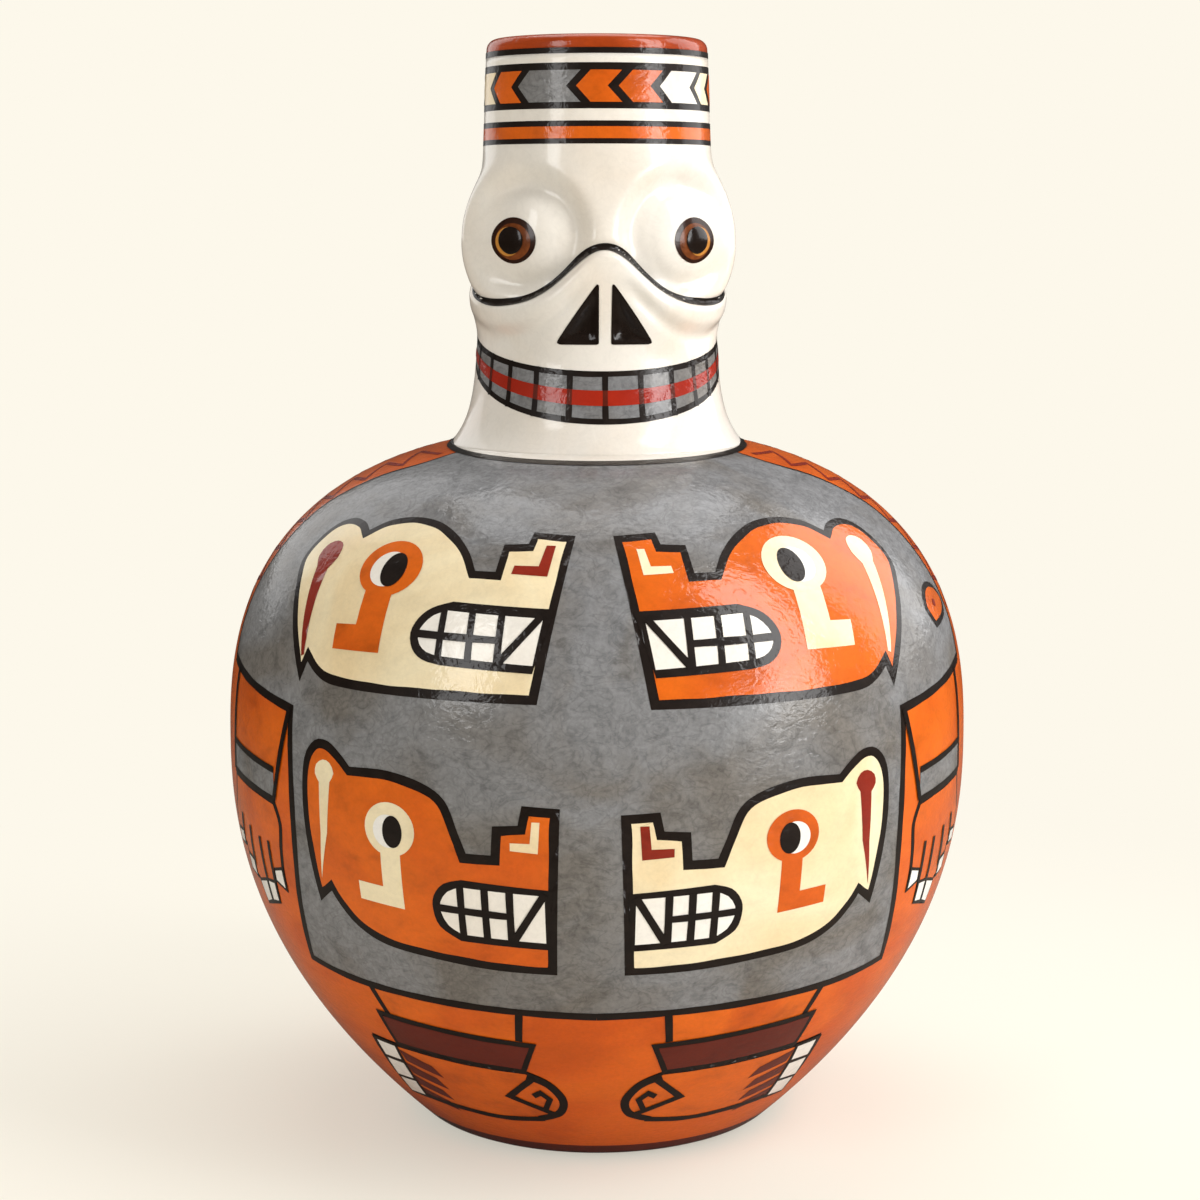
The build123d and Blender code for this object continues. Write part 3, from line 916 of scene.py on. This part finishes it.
# The mouth: its ends in degrees, and each lip's height at the middle and its climb at some degrees
MOUTH_ENDS = (-87.0, 90.0)
UPPER_LIP = (211.8, 6.3, 77.0)
LOWER_LIP = (197.8, 9.3, 72.0)
STRIPE_SHARES = (0.345, 0.635)  # of the way up from the lower lip
TOOTH_DEGREES = (-75.5, -61.0, -47.0, -32.0, -15.8, 0.0, 16.3, 32.3, 46.5, 58.5, 72.0)
CREASE_END = 96.0  # degrees to which the crease is painted
CREASE_TAPER = 23.0  # length in which its line thins out

# Heights of the headband's rings, and of its fields' lower edge, tips and upper edge
HEADBAND_RINGS = (
    (271.4, 272.8, "black"),
    (275.9, 277.4, "black"),
    (280.5, 292.4, "black"),
    (272.8, 275.9, "orange"),
    (294.8, 296.3, "black"),
)
FIELD_HEIGHTS = (282.2, 286.4, 290.5)
FIELD_TIP = 7.2  # degrees
# Coloured fields of the headband, in degrees round the head
HEADBAND_FIELDS = (
    (-80, -61.5, "cream"),
    (-56.5, -40.5, "ground"),
    (-35.5, -8, "grey"),
    (-3, 12.5, "orange"),
    (18, 34.5, "orange"),
    (40, 60.5, "white"),
    (65, 77, "cream"),
    (82, 104, "orange"),
    (109, 132, "grey"),
    (137, 154, "orange"),
    (159, 176, "red"),
    (181, 203, "white"),
    (208, 225, "cream"),
    (230, 247, "orange"),
    (252, 273, "grey"),
)


# Pieces


class BuildBody(bpy.types.Operator):
    """Spins the body's wall, outside and inside, in one closed piece"""

    bl_idname = "effigy_jar.body"
    bl_label = "Body wall"

    def execute(self, context):
        shape = JarShape(context.scene)
        outside = [shape.body_point(up) for up in np.linspace(EDGE_TOP, shape.wall_length, 120)]
        inside = [shape.inner_point(up) for up in np.linspace(shape.wall_length, 6.0, 80)]
        inside = [point for point in inside if point[1] > shape.floor + 0.5]
        floor = [(inside[-1][0] - FLOOR_CORNER, shape.floor), (0.0, shape.floor)]
        mesh = turned([*BASE_EDGE, *outside, *inside, *floor], 256, False)
        for face in mesh.faces:
            middle = face.calc_center_median() / MM
            outer = np.interp(middle.z, shape.heights, shape.radii)
            bare = math.hypot(middle.x, middle.y) < outer - 2.5 or middle.z < 0.2
            # Faces below that height take the maroon slip: a dark foot line that also paints in the contact
            # shade under the base.
            face.material_index = 1 if bare else 2 if middle.z < FOOT_LINE_AND_SHADE_HEIGHT else 0
        piece = finished("body_wall", mesh, ["ground", "clay", "maroon"])
        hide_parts("base_pat", *[f"body_coil_{i}" for i in range(1, 10)])
        return {"FINISHED"}


class BuildHead(bpy.types.Operator):
    """Spins the neck and models the face on it"""

    bl_idname = "effigy_jar.head"
    bl_label = "Head wall"

    def execute(self, context):
        shape = JarShape(context.scene)
        face_rows = np.arange(shape.seat_height, FACE_TOP, FACE_STEP)
        band_rows = np.linspace(FACE_TOP, shape.lip_bottom, 16)
        seat = shape.inner_point(shape.wall_length)
        inner_rows = np.linspace(shape.lip_bottom - LIP_LAP, seat[1], 40)
        outside = [(float(shape.neck(z)), float(z)) for z in (*face_rows, *band_rows)]
        inside = [(float(shape.neck_inside(z)), float(z)) for z in inner_rows]
        mesh = turned(outside + inside, 360, True)
        x, y, z = np.array([vert.co for vert in mesh.verts]).T / MM
        on_outside = np.abs(np.hypot(x, y) - shape.neck(z)) < 0.02
        modelled = shape.head(np.arctan2(x, -y) * HEAD_ROLL, z)
        for vert, place, outer in zip(mesh.verts, modelled, on_outside):
            if outer:
                vert.co = place * MM
        for face in mesh.faces:
            middle = face.calc_center_median() / MM
            bare = math.hypot(middle.x, middle.y) < shape.neck(middle.z) - 3.5
            face.material_index = 1 if bare else 0
        piece = finished("head_wall", mesh, ["white", "clay"])
        rings = ["collar_coil", "head_coil_1", "head_coil_2", "head_coil_3", "headband_coil"]
        eyes = ["left_eye_socket", "right_eye_socket", "left_eyeball", "right_eyeball"]
        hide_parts(*rings, *eyes, "muzzle")
        return {"FINISHED"}


class BuildLip(bpy.types.Operator):
    """Spins the rounded lip"""

    bl_idname = "effigy_jar.lip"
    bl_label = "Lip"

    def execute(self, context):
        shape = JarShape(context.scene)
        half = (shape.lip_radius - shape.mouth_radius) / 2.0
        crown = oval((shape.mouth_radius + half, shape.height - half), half, half, 0.0, 180.0)
        inner_edge = (shape.mouth_radius, shape.lip_bottom - LIP_LAP)
        outer_edge = (float(shape.neck(shape.lip_bottom)), shape.lip_bottom)
        mesh = turned([inner_edge, outer_edge, *crown], 256, True)
        piece = finished("rounded_lip", mesh, ["lip"])
        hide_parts("rim_lip")
        return {"FINISHED"}


class BuildEyes(bpy.types.Operator):
    """Paints the irises and sets the pupils"""

    bl_idname = "effigy_jar.eyes"
    bl_label = "Irises and pupils"

    def execute(self, context):
        shape = JarShape(context.scene)
        height = shape.iris_height
        for side, name in ((-1, "left"), (1, "right")):
            across = DEGREE * (shape.turn + shape.iris_turn + side * shape.iris_angle)
            iris = Drawing(shape.head, IRIS_GRID)
            radius = shape.iris_radius
            for paint, coats, out, up, wide, tall in IRIS_RINGS:
                centre = (across + side * out, height + up)
                iris.face(oval(centre, wide * radius, tall * radius), paint, coats)
            piece = iris.piece(f"{name}_iris_paint", "brown_slip_clay")
            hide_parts(f"{name}_iris")
            pupil = Drawing(shape.head, PUPIL_GRID)
            middle = across + side * PUPIL_OUT
            wide, tall = [share * shape.pupil_radius for share in PUPIL_SHARES]
            pupil.face(oval((middle, height), wide, tall), "pupil", 5)

            def bead(u, v):
                away = np.hypot((u - middle) / wide, (v - height) / tall) / 1.02
                return BEAD_HEIGHT * np.sqrt(np.clip(1.0 - away**2, 0.0, None))

            piece = pupil.piece(f"{name}_pupil_bead", "black_slip_clay", dome=bead)
            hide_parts(f"{name}_pupil")
        return {"FINISHED"}


class PaintFace(bpy.types.Operator):
    """Paints the crease, the nostrils and the mouth"""

    bl_idname = "effigy_jar.face"
    bl_label = "Face lines and mouth"

    def execute(self, context):
        shape = JarShape(context.scene)
        drawing = Drawing(shape.head, HEAD_GRID, shift=DEGREE * shape.turn)
        crease = np.linspace(-CREASE_END, CREASE_END, 140)
        path = np.stack([DEGREE * crease, shape.brow(crease)], axis=-1)
        drawing.line(path, CREASE_LINE, 2, taper=CREASE_TAPER)
        near, far, low, top = NOSTRIL_GAP, NOSTRIL_GAP + NOSTRIL_WIDTH, NOSTRIL_BOTTOM, NOSTRIL_TOP
        nostril = trace(
            *((near + 0.8, low), (far - 1.2, low)),
            [(far - 0.2, low + 0.4), (far - 0.6, low + 1.4)],
            (near + 0.7, top - 0.6),
            [(near + 0.2, top - 0.4), (near, top - 1.0)],
            (near, low + 0.8),
            [(near + 0.1, low + 0.2), (near + 0.8, low)],
        )
        for side in (-1, 1):
            drawing.face([(side * u, v) for u, v in nostril], "pupil", 2)
        self.paint_mouth(drawing)
        drawing.piece("face_lines_and_mouth", "black_slip_clay")
        return {"FINISHED"}

    def paint_mouth(self, drawing):
        """A band of grey teeth, bared in two rows with a red stripe between."""
        turn = np.linspace(*MOUTH_ENDS, 119)
        bottom, top = [
            middle + climb * (turn / degrees) ** 2 for middle, climb, degrees in (LOWER_LIP, UPPER_LIP)
        ]
        low, high = [(1.0 - share) * bottom + share * top for share in STRIPE_SHARES]

        def band(lower, upper):
            edges = [np.stack([DEGREE * turn, edge], axis=-1) for edge in (lower, upper)]
            return np.concatenate([edges[0], edges[1][::-1]])

        drawing.outlined(band(bottom, top), MOUTH_LINE, "grey", 1)
        drawing.face(band(low, high), "scarlet", 4)
        for degrees in TOOTH_DEGREES:
            for first, last, width, coats, paint in (
                (bottom, top, MOUTH_LINE, 3, "black"),
                (low, high, STRIPE_LINE, 5, "maroon"),
            ):
                heights = np.linspace(np.interp(degrees, turn, first), np.interp(degrees, turn, last), 9)
                path = np.stack([np.full(9, DEGREE * degrees), heights], axis=-1)
                drawing.line(path, width, coats, paint)


class PaintHeadband(bpy.types.Operator):
    """Paints the headband's rings and its arrow fields"""

    bl_idname = "effigy_jar.headband"
    bl_label = "Headband"

    def execute(self, context):
        shape = JarShape(context.scene)
        drawing = Drawing(shape.head, STRIP_GRID)
        end = math.pi * HEAD_ROLL
        for low, high, paint in HEADBAND_RINGS:
            drawing.face(((-end, low), (end, low), (end, high), (-end, high)), paint, 1)
        low, middle, high = FIELD_HEIGHTS
        for first, last, paint in HEADBAND_FIELDS:
            left, right, tip = DEGREE * first, DEGREE * last, DEGREE * FIELD_TIP
            lower_edge = ((left, low), (right, low), (right - tip, middle))
            drawing.face(polygon(*lower_edge, (right, high), (left, high), (left - tip, middle)), paint, 2)
        drawing.piece("headband_paint", "black_slip_clay")
        return {"FINISHED"}


class PaintTunic(bpy.types.Operator):
    """Paints the grey tunic on the front and the back"""

    bl_idname = "effigy_jar.tunic"
    bl_label = "Tunic"

    def execute(self, context):
        shape = JarShape(context.scene)
        half_turn = math.pi * shape.belly_radius
        for name, shift, *edges in (
            ("tunic_front", 0.0, FRONT_HEM, FRONT_SIDE, FRONT_SLEEVE_TOP, SHOULDER_EDGE),
            ("tunic_back", half_turn, BACK_HEM, BACK_SIDE, BACK_SLEEVE_TOP, SHOULDER_EDGE),
        ):
            drawing = Drawing(shape.body, BODY_GRID, shift=shift)
            right = trace(edges[0][0], *[edge[1:] for edge in edges], (0, shape.wall_length))
            left = [(-u, v) for u, v in right[::-1] if u > 0.01]
            drawing.face([*right, *left], "grey", 1)
            for mirror in (-1, 1):
                runs = [[(mirror * u, v) for u, v in edge] for edge in edges]
                drawing.line(trace(runs[0][0], *[run[1:] for run in runs[:3]]), TUNIC_LINE, 2)
                drawing.line(trace(runs[3][0], runs[3][1:]), SHOULDER_LINE, 2)
            if shift == 0.0:
                self.paint_drop(drawing)
            drawing.piece(name, "black_slip_clay")
        self.paint_shoulders(shape)
        self.paint_neckline(shape)
        return {"FINISHED"}

    def paint_drop(self, drawing):
        """The small orange drop with a red dot at the right shoulder."""
        drawing.outlined(DROP, DROP_LINE, "orange", 2)
        drawing.face(DROP_DOT, "red", 4)

    def paint_shoulders(self, shape):
        """A saw-toothed line down both halves of each orange shoulder strip."""
        edge, edge_heights = np.array(SHOULDER_EDGE).T
        side = math.pi / 2.0 * shape.belly_radius
        for mirror, name in ((-1, "left"), (1, "right")):
            drawing = Drawing(shape.body, STRIP_GRID, shift=mirror * side)
            for half in (-1, 1):
                saw = [(half * SAW_START[0], SAW_START[1])]
                for low in SAW_HEIGHTS:
                    width = half * (side - np.interp(low, edge_heights, edge))
                    root, tip = [share * width for share in SAW_SHARES]
                    saw += [(root, low), (tip, low + SAW_SLANT)]
                drawing.stroke(SAW_LINE, 1, *saw, paint="red")
            drawing.piece(f"{name}_shoulder_paint", "black_slip_clay")

    def paint_neckline(self, shape):
        """The black line round the neck's foot, which dips onto the shoulder at front and back."""
        shoulder, foot = Drawing(shape.body, SEAT_GRID), Drawing(shape.head, NECK_GRID)
        seat, neck_foot = shape.wall_length, shape.seat_height
        turn = np.linspace(-math.pi, math.pi, 181)
        dip = np.abs(np.cos(turn))
        middle = NECKLINE_HEIGHT - NECKLINE_DIP * dip**1.2
        half = NECKLINE_HALF + NECKLINE_DIP_HALF * dip
        edges = list(zip(turn, middle - half, middle + half))
        for (t0, low0, high0), (t1, low1, high1) in zip(edges, edges[1:]):
            left, right = t0 * shape.belly_radius, t1 * shape.belly_radius
            if min(low0, low1) < 0.0:
                top = ((right, seat + min(high1, 0.0)), (left, seat + min(high0, 0.0)))
                shoulder.face(((left, seat + low0), (right, seat + low1), *top), "black", 3)
                if max(high0, high1) < 0.0:
                    shoulder.face((top[1], top[0], (right, seat), (left, seat)), "white", 3)
            if max(high0, high1) > 0.0:
                left, right = t0 * HEAD_ROLL, t1 * HEAD_ROLL
                top = ((right, neck_foot + max(high1, 0.05)), (left, neck_foot + max(high0, 0.05)))
                foot.face(((left, neck_foot + 0.02), (right, neck_foot + 0.02), *top), "black", 1)
        shoulder.piece("neck_line_on_shoulder", "black_slip_clay")
        foot.piece("neck_line_on_neck", "black_slip_clay")


class PaintHeads(bpy.types.Operator):
    """Paints the animal heads on the tunic"""

    bl_idname = "effigy_jar.heads"
    bl_label = "Animal heads"

    def execute(self, context):
        shape = JarShape(context.scene)
        for face_name, turn in (("front", 0.0), ("back", math.pi * shape.belly_radius)):
            for name, head, (across, shift, up, level), pale, *changes in HEADS:
                drawing = Drawing(shape.body, BODY_GRID, across, shift + turn, up, level)
                self.paint_head(drawing, head, pale, *changes)
                slot = "white_slip_clay" if pale else "red_slip_clay"
                drawing.piece(f"{face_name}_{name}_head", slot)
        return {"FINISHED"}

    def paint_head(self, drawing, head, pale, nudge, ear_rise, mark_size, bite):
        """Lays a head down in cream with orange marks, or in orange with cream marks."""
        fill, mark, small_mark = ("cream", "orange", "red") if pale else ("orange", "cream", "cream")
        drawing.outlined(head["outline"], HEAD_LINE, fill, 2)
        drawing.face(head["ear"] + np.array((0.0, ear_rise)), small_mark, 4)
        corners = np.array(head["snout_mark"])
        middle = corners.mean(axis=0)
        drawing.face(middle + mark_size * (corners - middle), small_mark, 4)
        drawing.face(np.add(head["stem"], nudge), mark, 4)
        place, half_width, half_height = head["eye"]
        drawing.face(oval(np.add(place, nudge), half_width, half_height), mark, 4.5)
        place, half_width, half_height = head["ball"]
        drawing.face(oval(np.add(place, nudge), half_width, half_height), "tooth", 5)
        pupil = np.add(place, nudge) + (0.33 * half_width, 0.0)
        drawing.face(oval(pupil, 0.67 * half_width, 0.97 * half_height), "black", 5.5)
        squeeze = np.array((bite, 1.0))
        kept = np.array((head["mouth"][0][0] * (1.0 - bite), 0.0))
        drawing.face(kept + squeeze * head["mouth"], "black", 4)
        drawing.face(kept + squeeze * head["teeth"], "tooth", 5)
        for number, line in enumerate(head["tooth_lines"]):
            drawing.stroke(TOOTH_LINE, 6 + 0.3 * number, *(kept + squeeze * np.array(line)))


class PaintArms(bpy.types.Operator):
    """Paints the sleeves, cuffs and hands at the sides"""

    bl_idname = "effigy_jar.arms"
    bl_label = "Arms"

    def execute(self, context):
        shape = JarShape(context.scene)
        for mirror, name in ((1, "left"), (-1, "right")):
            drawing = Drawing(shape.body, BODY_GRID, mirror)
            drawing.face(SLEEVE, "orange", 1)
            drawing.stroke(SLEEVE_LINE, 5, SLEEVE[0], CUFF[1])
            drawing.stroke(SLEEVE_LINE, 5, SLEEVE[3], CUFF[2])
            drawing.face(CUFF, "grey", 3)
            drawing.stroke(CUFF_LINE, 4, CUFF[0], CUFF[3])
            drawing.stroke(CUFF_LINE, 4, CUFF[1], CUFF[2])
            drawing.outlined(HAND, HAND_LINE, "orange", 1)
            for nail in FINGER_NAILS:
                drawing.outlined(polygon(*nail), NAIL_LINE, "tooth", 3)
            for finger in FINGERS:
                drawing.stroke(FINGER_LINE, 5, *finger)
            drawing.piece(f"{name}_arm_paint", "red_slip_clay")
        return {"FINISHED"}


class PaintFeet(bpy.types.Operator):
    """Paints the legs and feet below the hem"""

    bl_idname = "effigy_jar.feet"
    bl_label = "Feet"

    def execute(self, context):
        shape = JarShape(context.scene)
        for name, across, shift in (("left", 1.0, 0.0), ("right", -1.025, -2.3)):
            drawing = Drawing(shape.body, BODY_GRID, across, shift)
            self.paint_leg(drawing)
            self.paint_foot(drawing)
            drawing.piece(f"{name}_foot_paint", "red_slip_clay")
        return {"FINISHED"}

    def paint_leg(self, drawing):
        """The bare leg under the hem and the maroon band on the ankle."""
        drawing.face(LEG, "orange", 1)
        drawing.stroke(OUTER_LEG_LINE, 2, LEG[0], LEG[1])
        drawing.stroke(INNER_LEG_LINE, 2, LEG[3], LEG[2])
        drawing.outlined(ANKLE_BAND, ANKLE_LINE, "maroon", 4)

    def paint_foot(self, drawing):
        """The foot with its nails, toe strips and the spiral on the heel."""
        drawing.outlined(FOOT, FOOT_LINE, "orange", 1)
        for i in range(4):
            drawing.face(TOE_STRIP + i * TOE_STEP, "maroon", 3)
        drawing.face(NAIL_BED, "black", 4)
        for nail in TOE_NAILS:
            drawing.face(nail, "tooth", 5)
        drawing.line(HEEL, HEEL_LINE, 3)
        drawing.line(SOLE, SOLE_LINE, 3.5)
        drawing.stroke(SPIRAL_LINE, 4.5, *SPIRAL)
        drawing.stroke(SPIRAL_END_LINE, 5, *SPIRAL_END)


# Stage, in metres

CAMERA_PLACE = (0.00084, -0.700, 0.255)
CAMERA_PITCH = 8.93  # degrees down
CAMERA_LENS = 75.1  # mm, on a sensor 36 mm wide
# Softboxes: place, size, watts, height on the jar's axis that they look at, and spread in degrees
LIGHTS = (
    ("key_softbox", (0.795, -0.441, 0.675), (0.36, 1.10), 9.4, 0.15, 180.0),
    ("left_fill", (-0.61, -0.73, 0.55), (0.26, 0.6), 2.7, 0.15, 180.0),
    ("low_right_fill", (0.70, -0.55, 0.16), (0.5, 0.4), 0.11, 0.08, 32.0),
    ("right_rim", (0.84, 0.36, 0.64), (0.7, 0.9), 5.2, 0.15, 180.0),
    ("left_rim", (-0.62, 0.76, 0.62), (0.6, 0.8), 1.8, 0.15, 180.0),
    ("top_fill", (0.0, 0.36, 1.15), (0.9, 0.6), 4.8, 0.15, 180.0),
)
FLOOR_RADIUS = 4.0
FLOOR_DROP = 0.0002  # below the jar's base
SHADOW_NEAR = 0.06  # from the jar's axis, where the floor's shadow is strongest
SHADOW_FAR = 0.40  # where it has faded into the background
SHADOW_GLOW = 0.48  # share of the background's light in the nearest floor
FLOOR_SHARES = (0.84, 0.24, 0.03)  # of the paper's colour: lit, mirrored near by, mirrored far off
MIRROR_NEAR = 0.25  # from the jar's axis, where the mirrored floor starts to darken
MIRROR_FAR = 0.7
AMBIENT = 0.40  # light of the room
MIRRORED_ROOM = 0.05  # the room's light as the polish mirrors it


class BuildStage(bpy.types.Operator):
    """Makes the floor, the soft lights, the pale background and the camera"""

    bl_idname = "effigy_jar.stage"
    bl_label = "Stage"

    def execute(self, context):
        scene = context.scene
        scene.view_settings.view_transform = "Standard"
        self.lay_floor(scene)
        self.hang_background(scene)
        for light in LIGHTS:
            self.place_light(scene, *light)
        data = bpy.data.cameras.new("photo_camera")
        data.sensor_width = 36.0
        data.lens = CAMERA_LENS
        camera = bpy.data.objects.new("photo_camera", data)
        camera.location = CAMERA_PLACE
        camera.rotation_euler = (math.radians(90.0 - CAMERA_PITCH), 0.0, 0.0)
        scene.collection.objects.link(camera)
        scene.camera = camera
        return {"FINISHED"}

    def lay_floor(self, scene):
        """A wide pale floor that takes the jar's shadow and fades into the background."""
        mesh = bmesh.new()
        bmesh.ops.create_circle(mesh, cap_ends=True, radius=FLOOR_RADIUS, segments=96)
        bmesh.ops.translate(mesh, verts=mesh.verts[:], vec=(0.0, 0.0, -FLOOR_DROP))
        data = bpy.data.meshes.new("floor")
        mesh.to_mesh(data)
        mesh.free()
        floor = bpy.data.objects.new("floor", data)
        scene.collection.objects.link(floor)
        paper = bpy.data.materials.new("pale_paper_floor")
        data.materials.append(paper)
        tree = empty_tree(paper)
        tint = scene.jar_colours.floor
        place = add(tree, "ShaderNodeTexCoord", {}).outputs["Object"]
        away = add(tree, "ShaderNodeVectorMath", {0: place}, operation="LENGTH").outputs["Value"]
        path = add(tree, "ShaderNodeLightPath", {}).outputs
        fade = add(
            tree,
            "ShaderNodeMapRange",
            {"Value": away, 1: SHADOW_NEAR, 2: SHADOW_FAR, 3: SHADOW_GLOW, 4: 1.0},
            interpolation_type="SMOOTHSTEP",
        )
        seen = add(
            tree,
            "ShaderNodeMath",
            {0: fade.outputs["Result"], 1: path["Is Camera Ray"]},
            operation="MULTIPLY",
        )
        beyond = add(tree, "ShaderNodeMapRange", {"Value": away, 1: MIRROR_NEAR, 2: MIRROR_FAR})
        lit, mirrored_near, mirrored_far = [
            add(tree, "ShaderNodeBsdfDiffuse", {"Color": shaded(tint, share)}).outputs["BSDF"]
            for share in FLOOR_SHARES
        ]
        glow = add(tree, "ShaderNodeEmission", {"Color": linear(tint), "Strength": 1.0}).outputs["Emission"]
        shown, mirrored = [
            add(tree, "ShaderNodeMixShader", {0: share, 1: first, 2: second}).outputs["Shader"]
            for share, first, second in (
                (seen.outputs["Value"], lit, glow),
                (beyond.outputs["Result"], mirrored_near, mirrored_far),
            )
        ]
        both = add(tree, "ShaderNodeMixShader", {0: path["Is Glossy Ray"], 1: shown, 2: mirrored})
        add(tree, "ShaderNodeOutputMaterial", {"Surface": both.outputs["Shader"]})

    def hang_background(self, scene):
        """A pale background for the camera, a dim even light, and a dark room for the polish to mirror."""
        world = bpy.data.worlds.new("pale_studio")
        scene.world = world
        tree = empty_tree(world)
        tint = linear(scene.jar_colours.floor)
        path = add(tree, "ShaderNodeLightPath", {}).outputs
        level = add(
            tree,
            "ShaderNodeMapRange",
            {"Value": path["Is Glossy Ray"], 3: AMBIENT, 4: MIRRORED_ROOM},
        )
        ambient, seen = [
            add(tree, "ShaderNodeBackground", {"Color": tint, "Strength": strength}).outputs[0]
            for strength in (level.outputs["Result"], 1.0)
        ]
        both = add(tree, "ShaderNodeMixShader", {0: path["Is Camera Ray"], 1: ambient, 2: seen})
        add(tree, "ShaderNodeOutputWorld", {"Surface": both.outputs["Shader"]})

    def place_light(self, scene, name, place, size, watts, aim_height, spread):
        """A rectangular softbox that looks at the jar's axis. A grid can narrow its spread."""
        data = bpy.data.lights.new(name, "AREA")
        data.shape = "RECTANGLE"
        data.size, data.size_y = size
        data.energy = watts
        data.spread = math.radians(spread)
        light = bpy.data.objects.new(name, data)
        light.location = place
        light.visible_camera = False
        aim = Vector((0.0, 0.0, aim_height)) - Vector(place)
        light.rotation_euler = aim.to_track_quat("-Z", "Y").to_euler()
        scene.collection.objects.link(light)


# Panel and registration

STEPS = (
    BuildBody,
    BuildHead,
    BuildLip,
    BuildEyes,
    PaintFace,
    PaintHeadband,
    PaintTunic,
    PaintHeads,
    PaintArms,
    PaintFeet,
    BuildStage,
)


class EffigyJarPanel(bpy.types.Panel):
    """Sizes, colours and steps of the jar"""

    bl_idname = "VIEW3D_PT_effigy_jar"
    bl_label = "Face-neck effigy jar"
    bl_space_type = "VIEW_3D"
    bl_region_type = "UI"
    bl_category = "Effigy jar"

    def draw(self, context):
        layout = self.layout
        for step in STEPS:
            layout.operator(step.bl_idname)
        for group in (context.scene.jar_sizes, context.scene.jar_face, context.scene.jar_colours):
            box = layout.box()
            for name in group.__annotations__:
                box.prop(group, name)


CLASSES = (JarSizes, FaceSizes, SlipColours, *STEPS, EffigyJarPanel)


def register():
    for made in CLASSES:
        bpy.utils.register_class(made)
    bpy.types.Scene.jar_sizes = PointerProperty(type=JarSizes)
    bpy.types.Scene.jar_face = PointerProperty(type=FaceSizes)
    bpy.types.Scene.jar_colours = PointerProperty(type=SlipColours)


def unregister():
    del bpy.types.Scene.jar_colours
    del bpy.types.Scene.jar_face
    del bpy.types.Scene.jar_sizes
    for made in reversed(CLASSES):
        bpy.utils.unregister_class(made)


def main():
    """Registers the add-on and builds the jar step by step."""
    register()
    bpy.ops.effigy_jar.body()
    bpy.ops.effigy_jar.head()
    bpy.ops.effigy_jar.lip()
    bpy.ops.effigy_jar.eyes()
    bpy.ops.effigy_jar.face()
    bpy.ops.effigy_jar.headband()
    bpy.ops.effigy_jar.tunic()
    bpy.ops.effigy_jar.heads()
    bpy.ops.effigy_jar.arms()
    bpy.ops.effigy_jar.feet()
    bpy.ops.effigy_jar.stage()


if __name__ == "__main__":
    main()
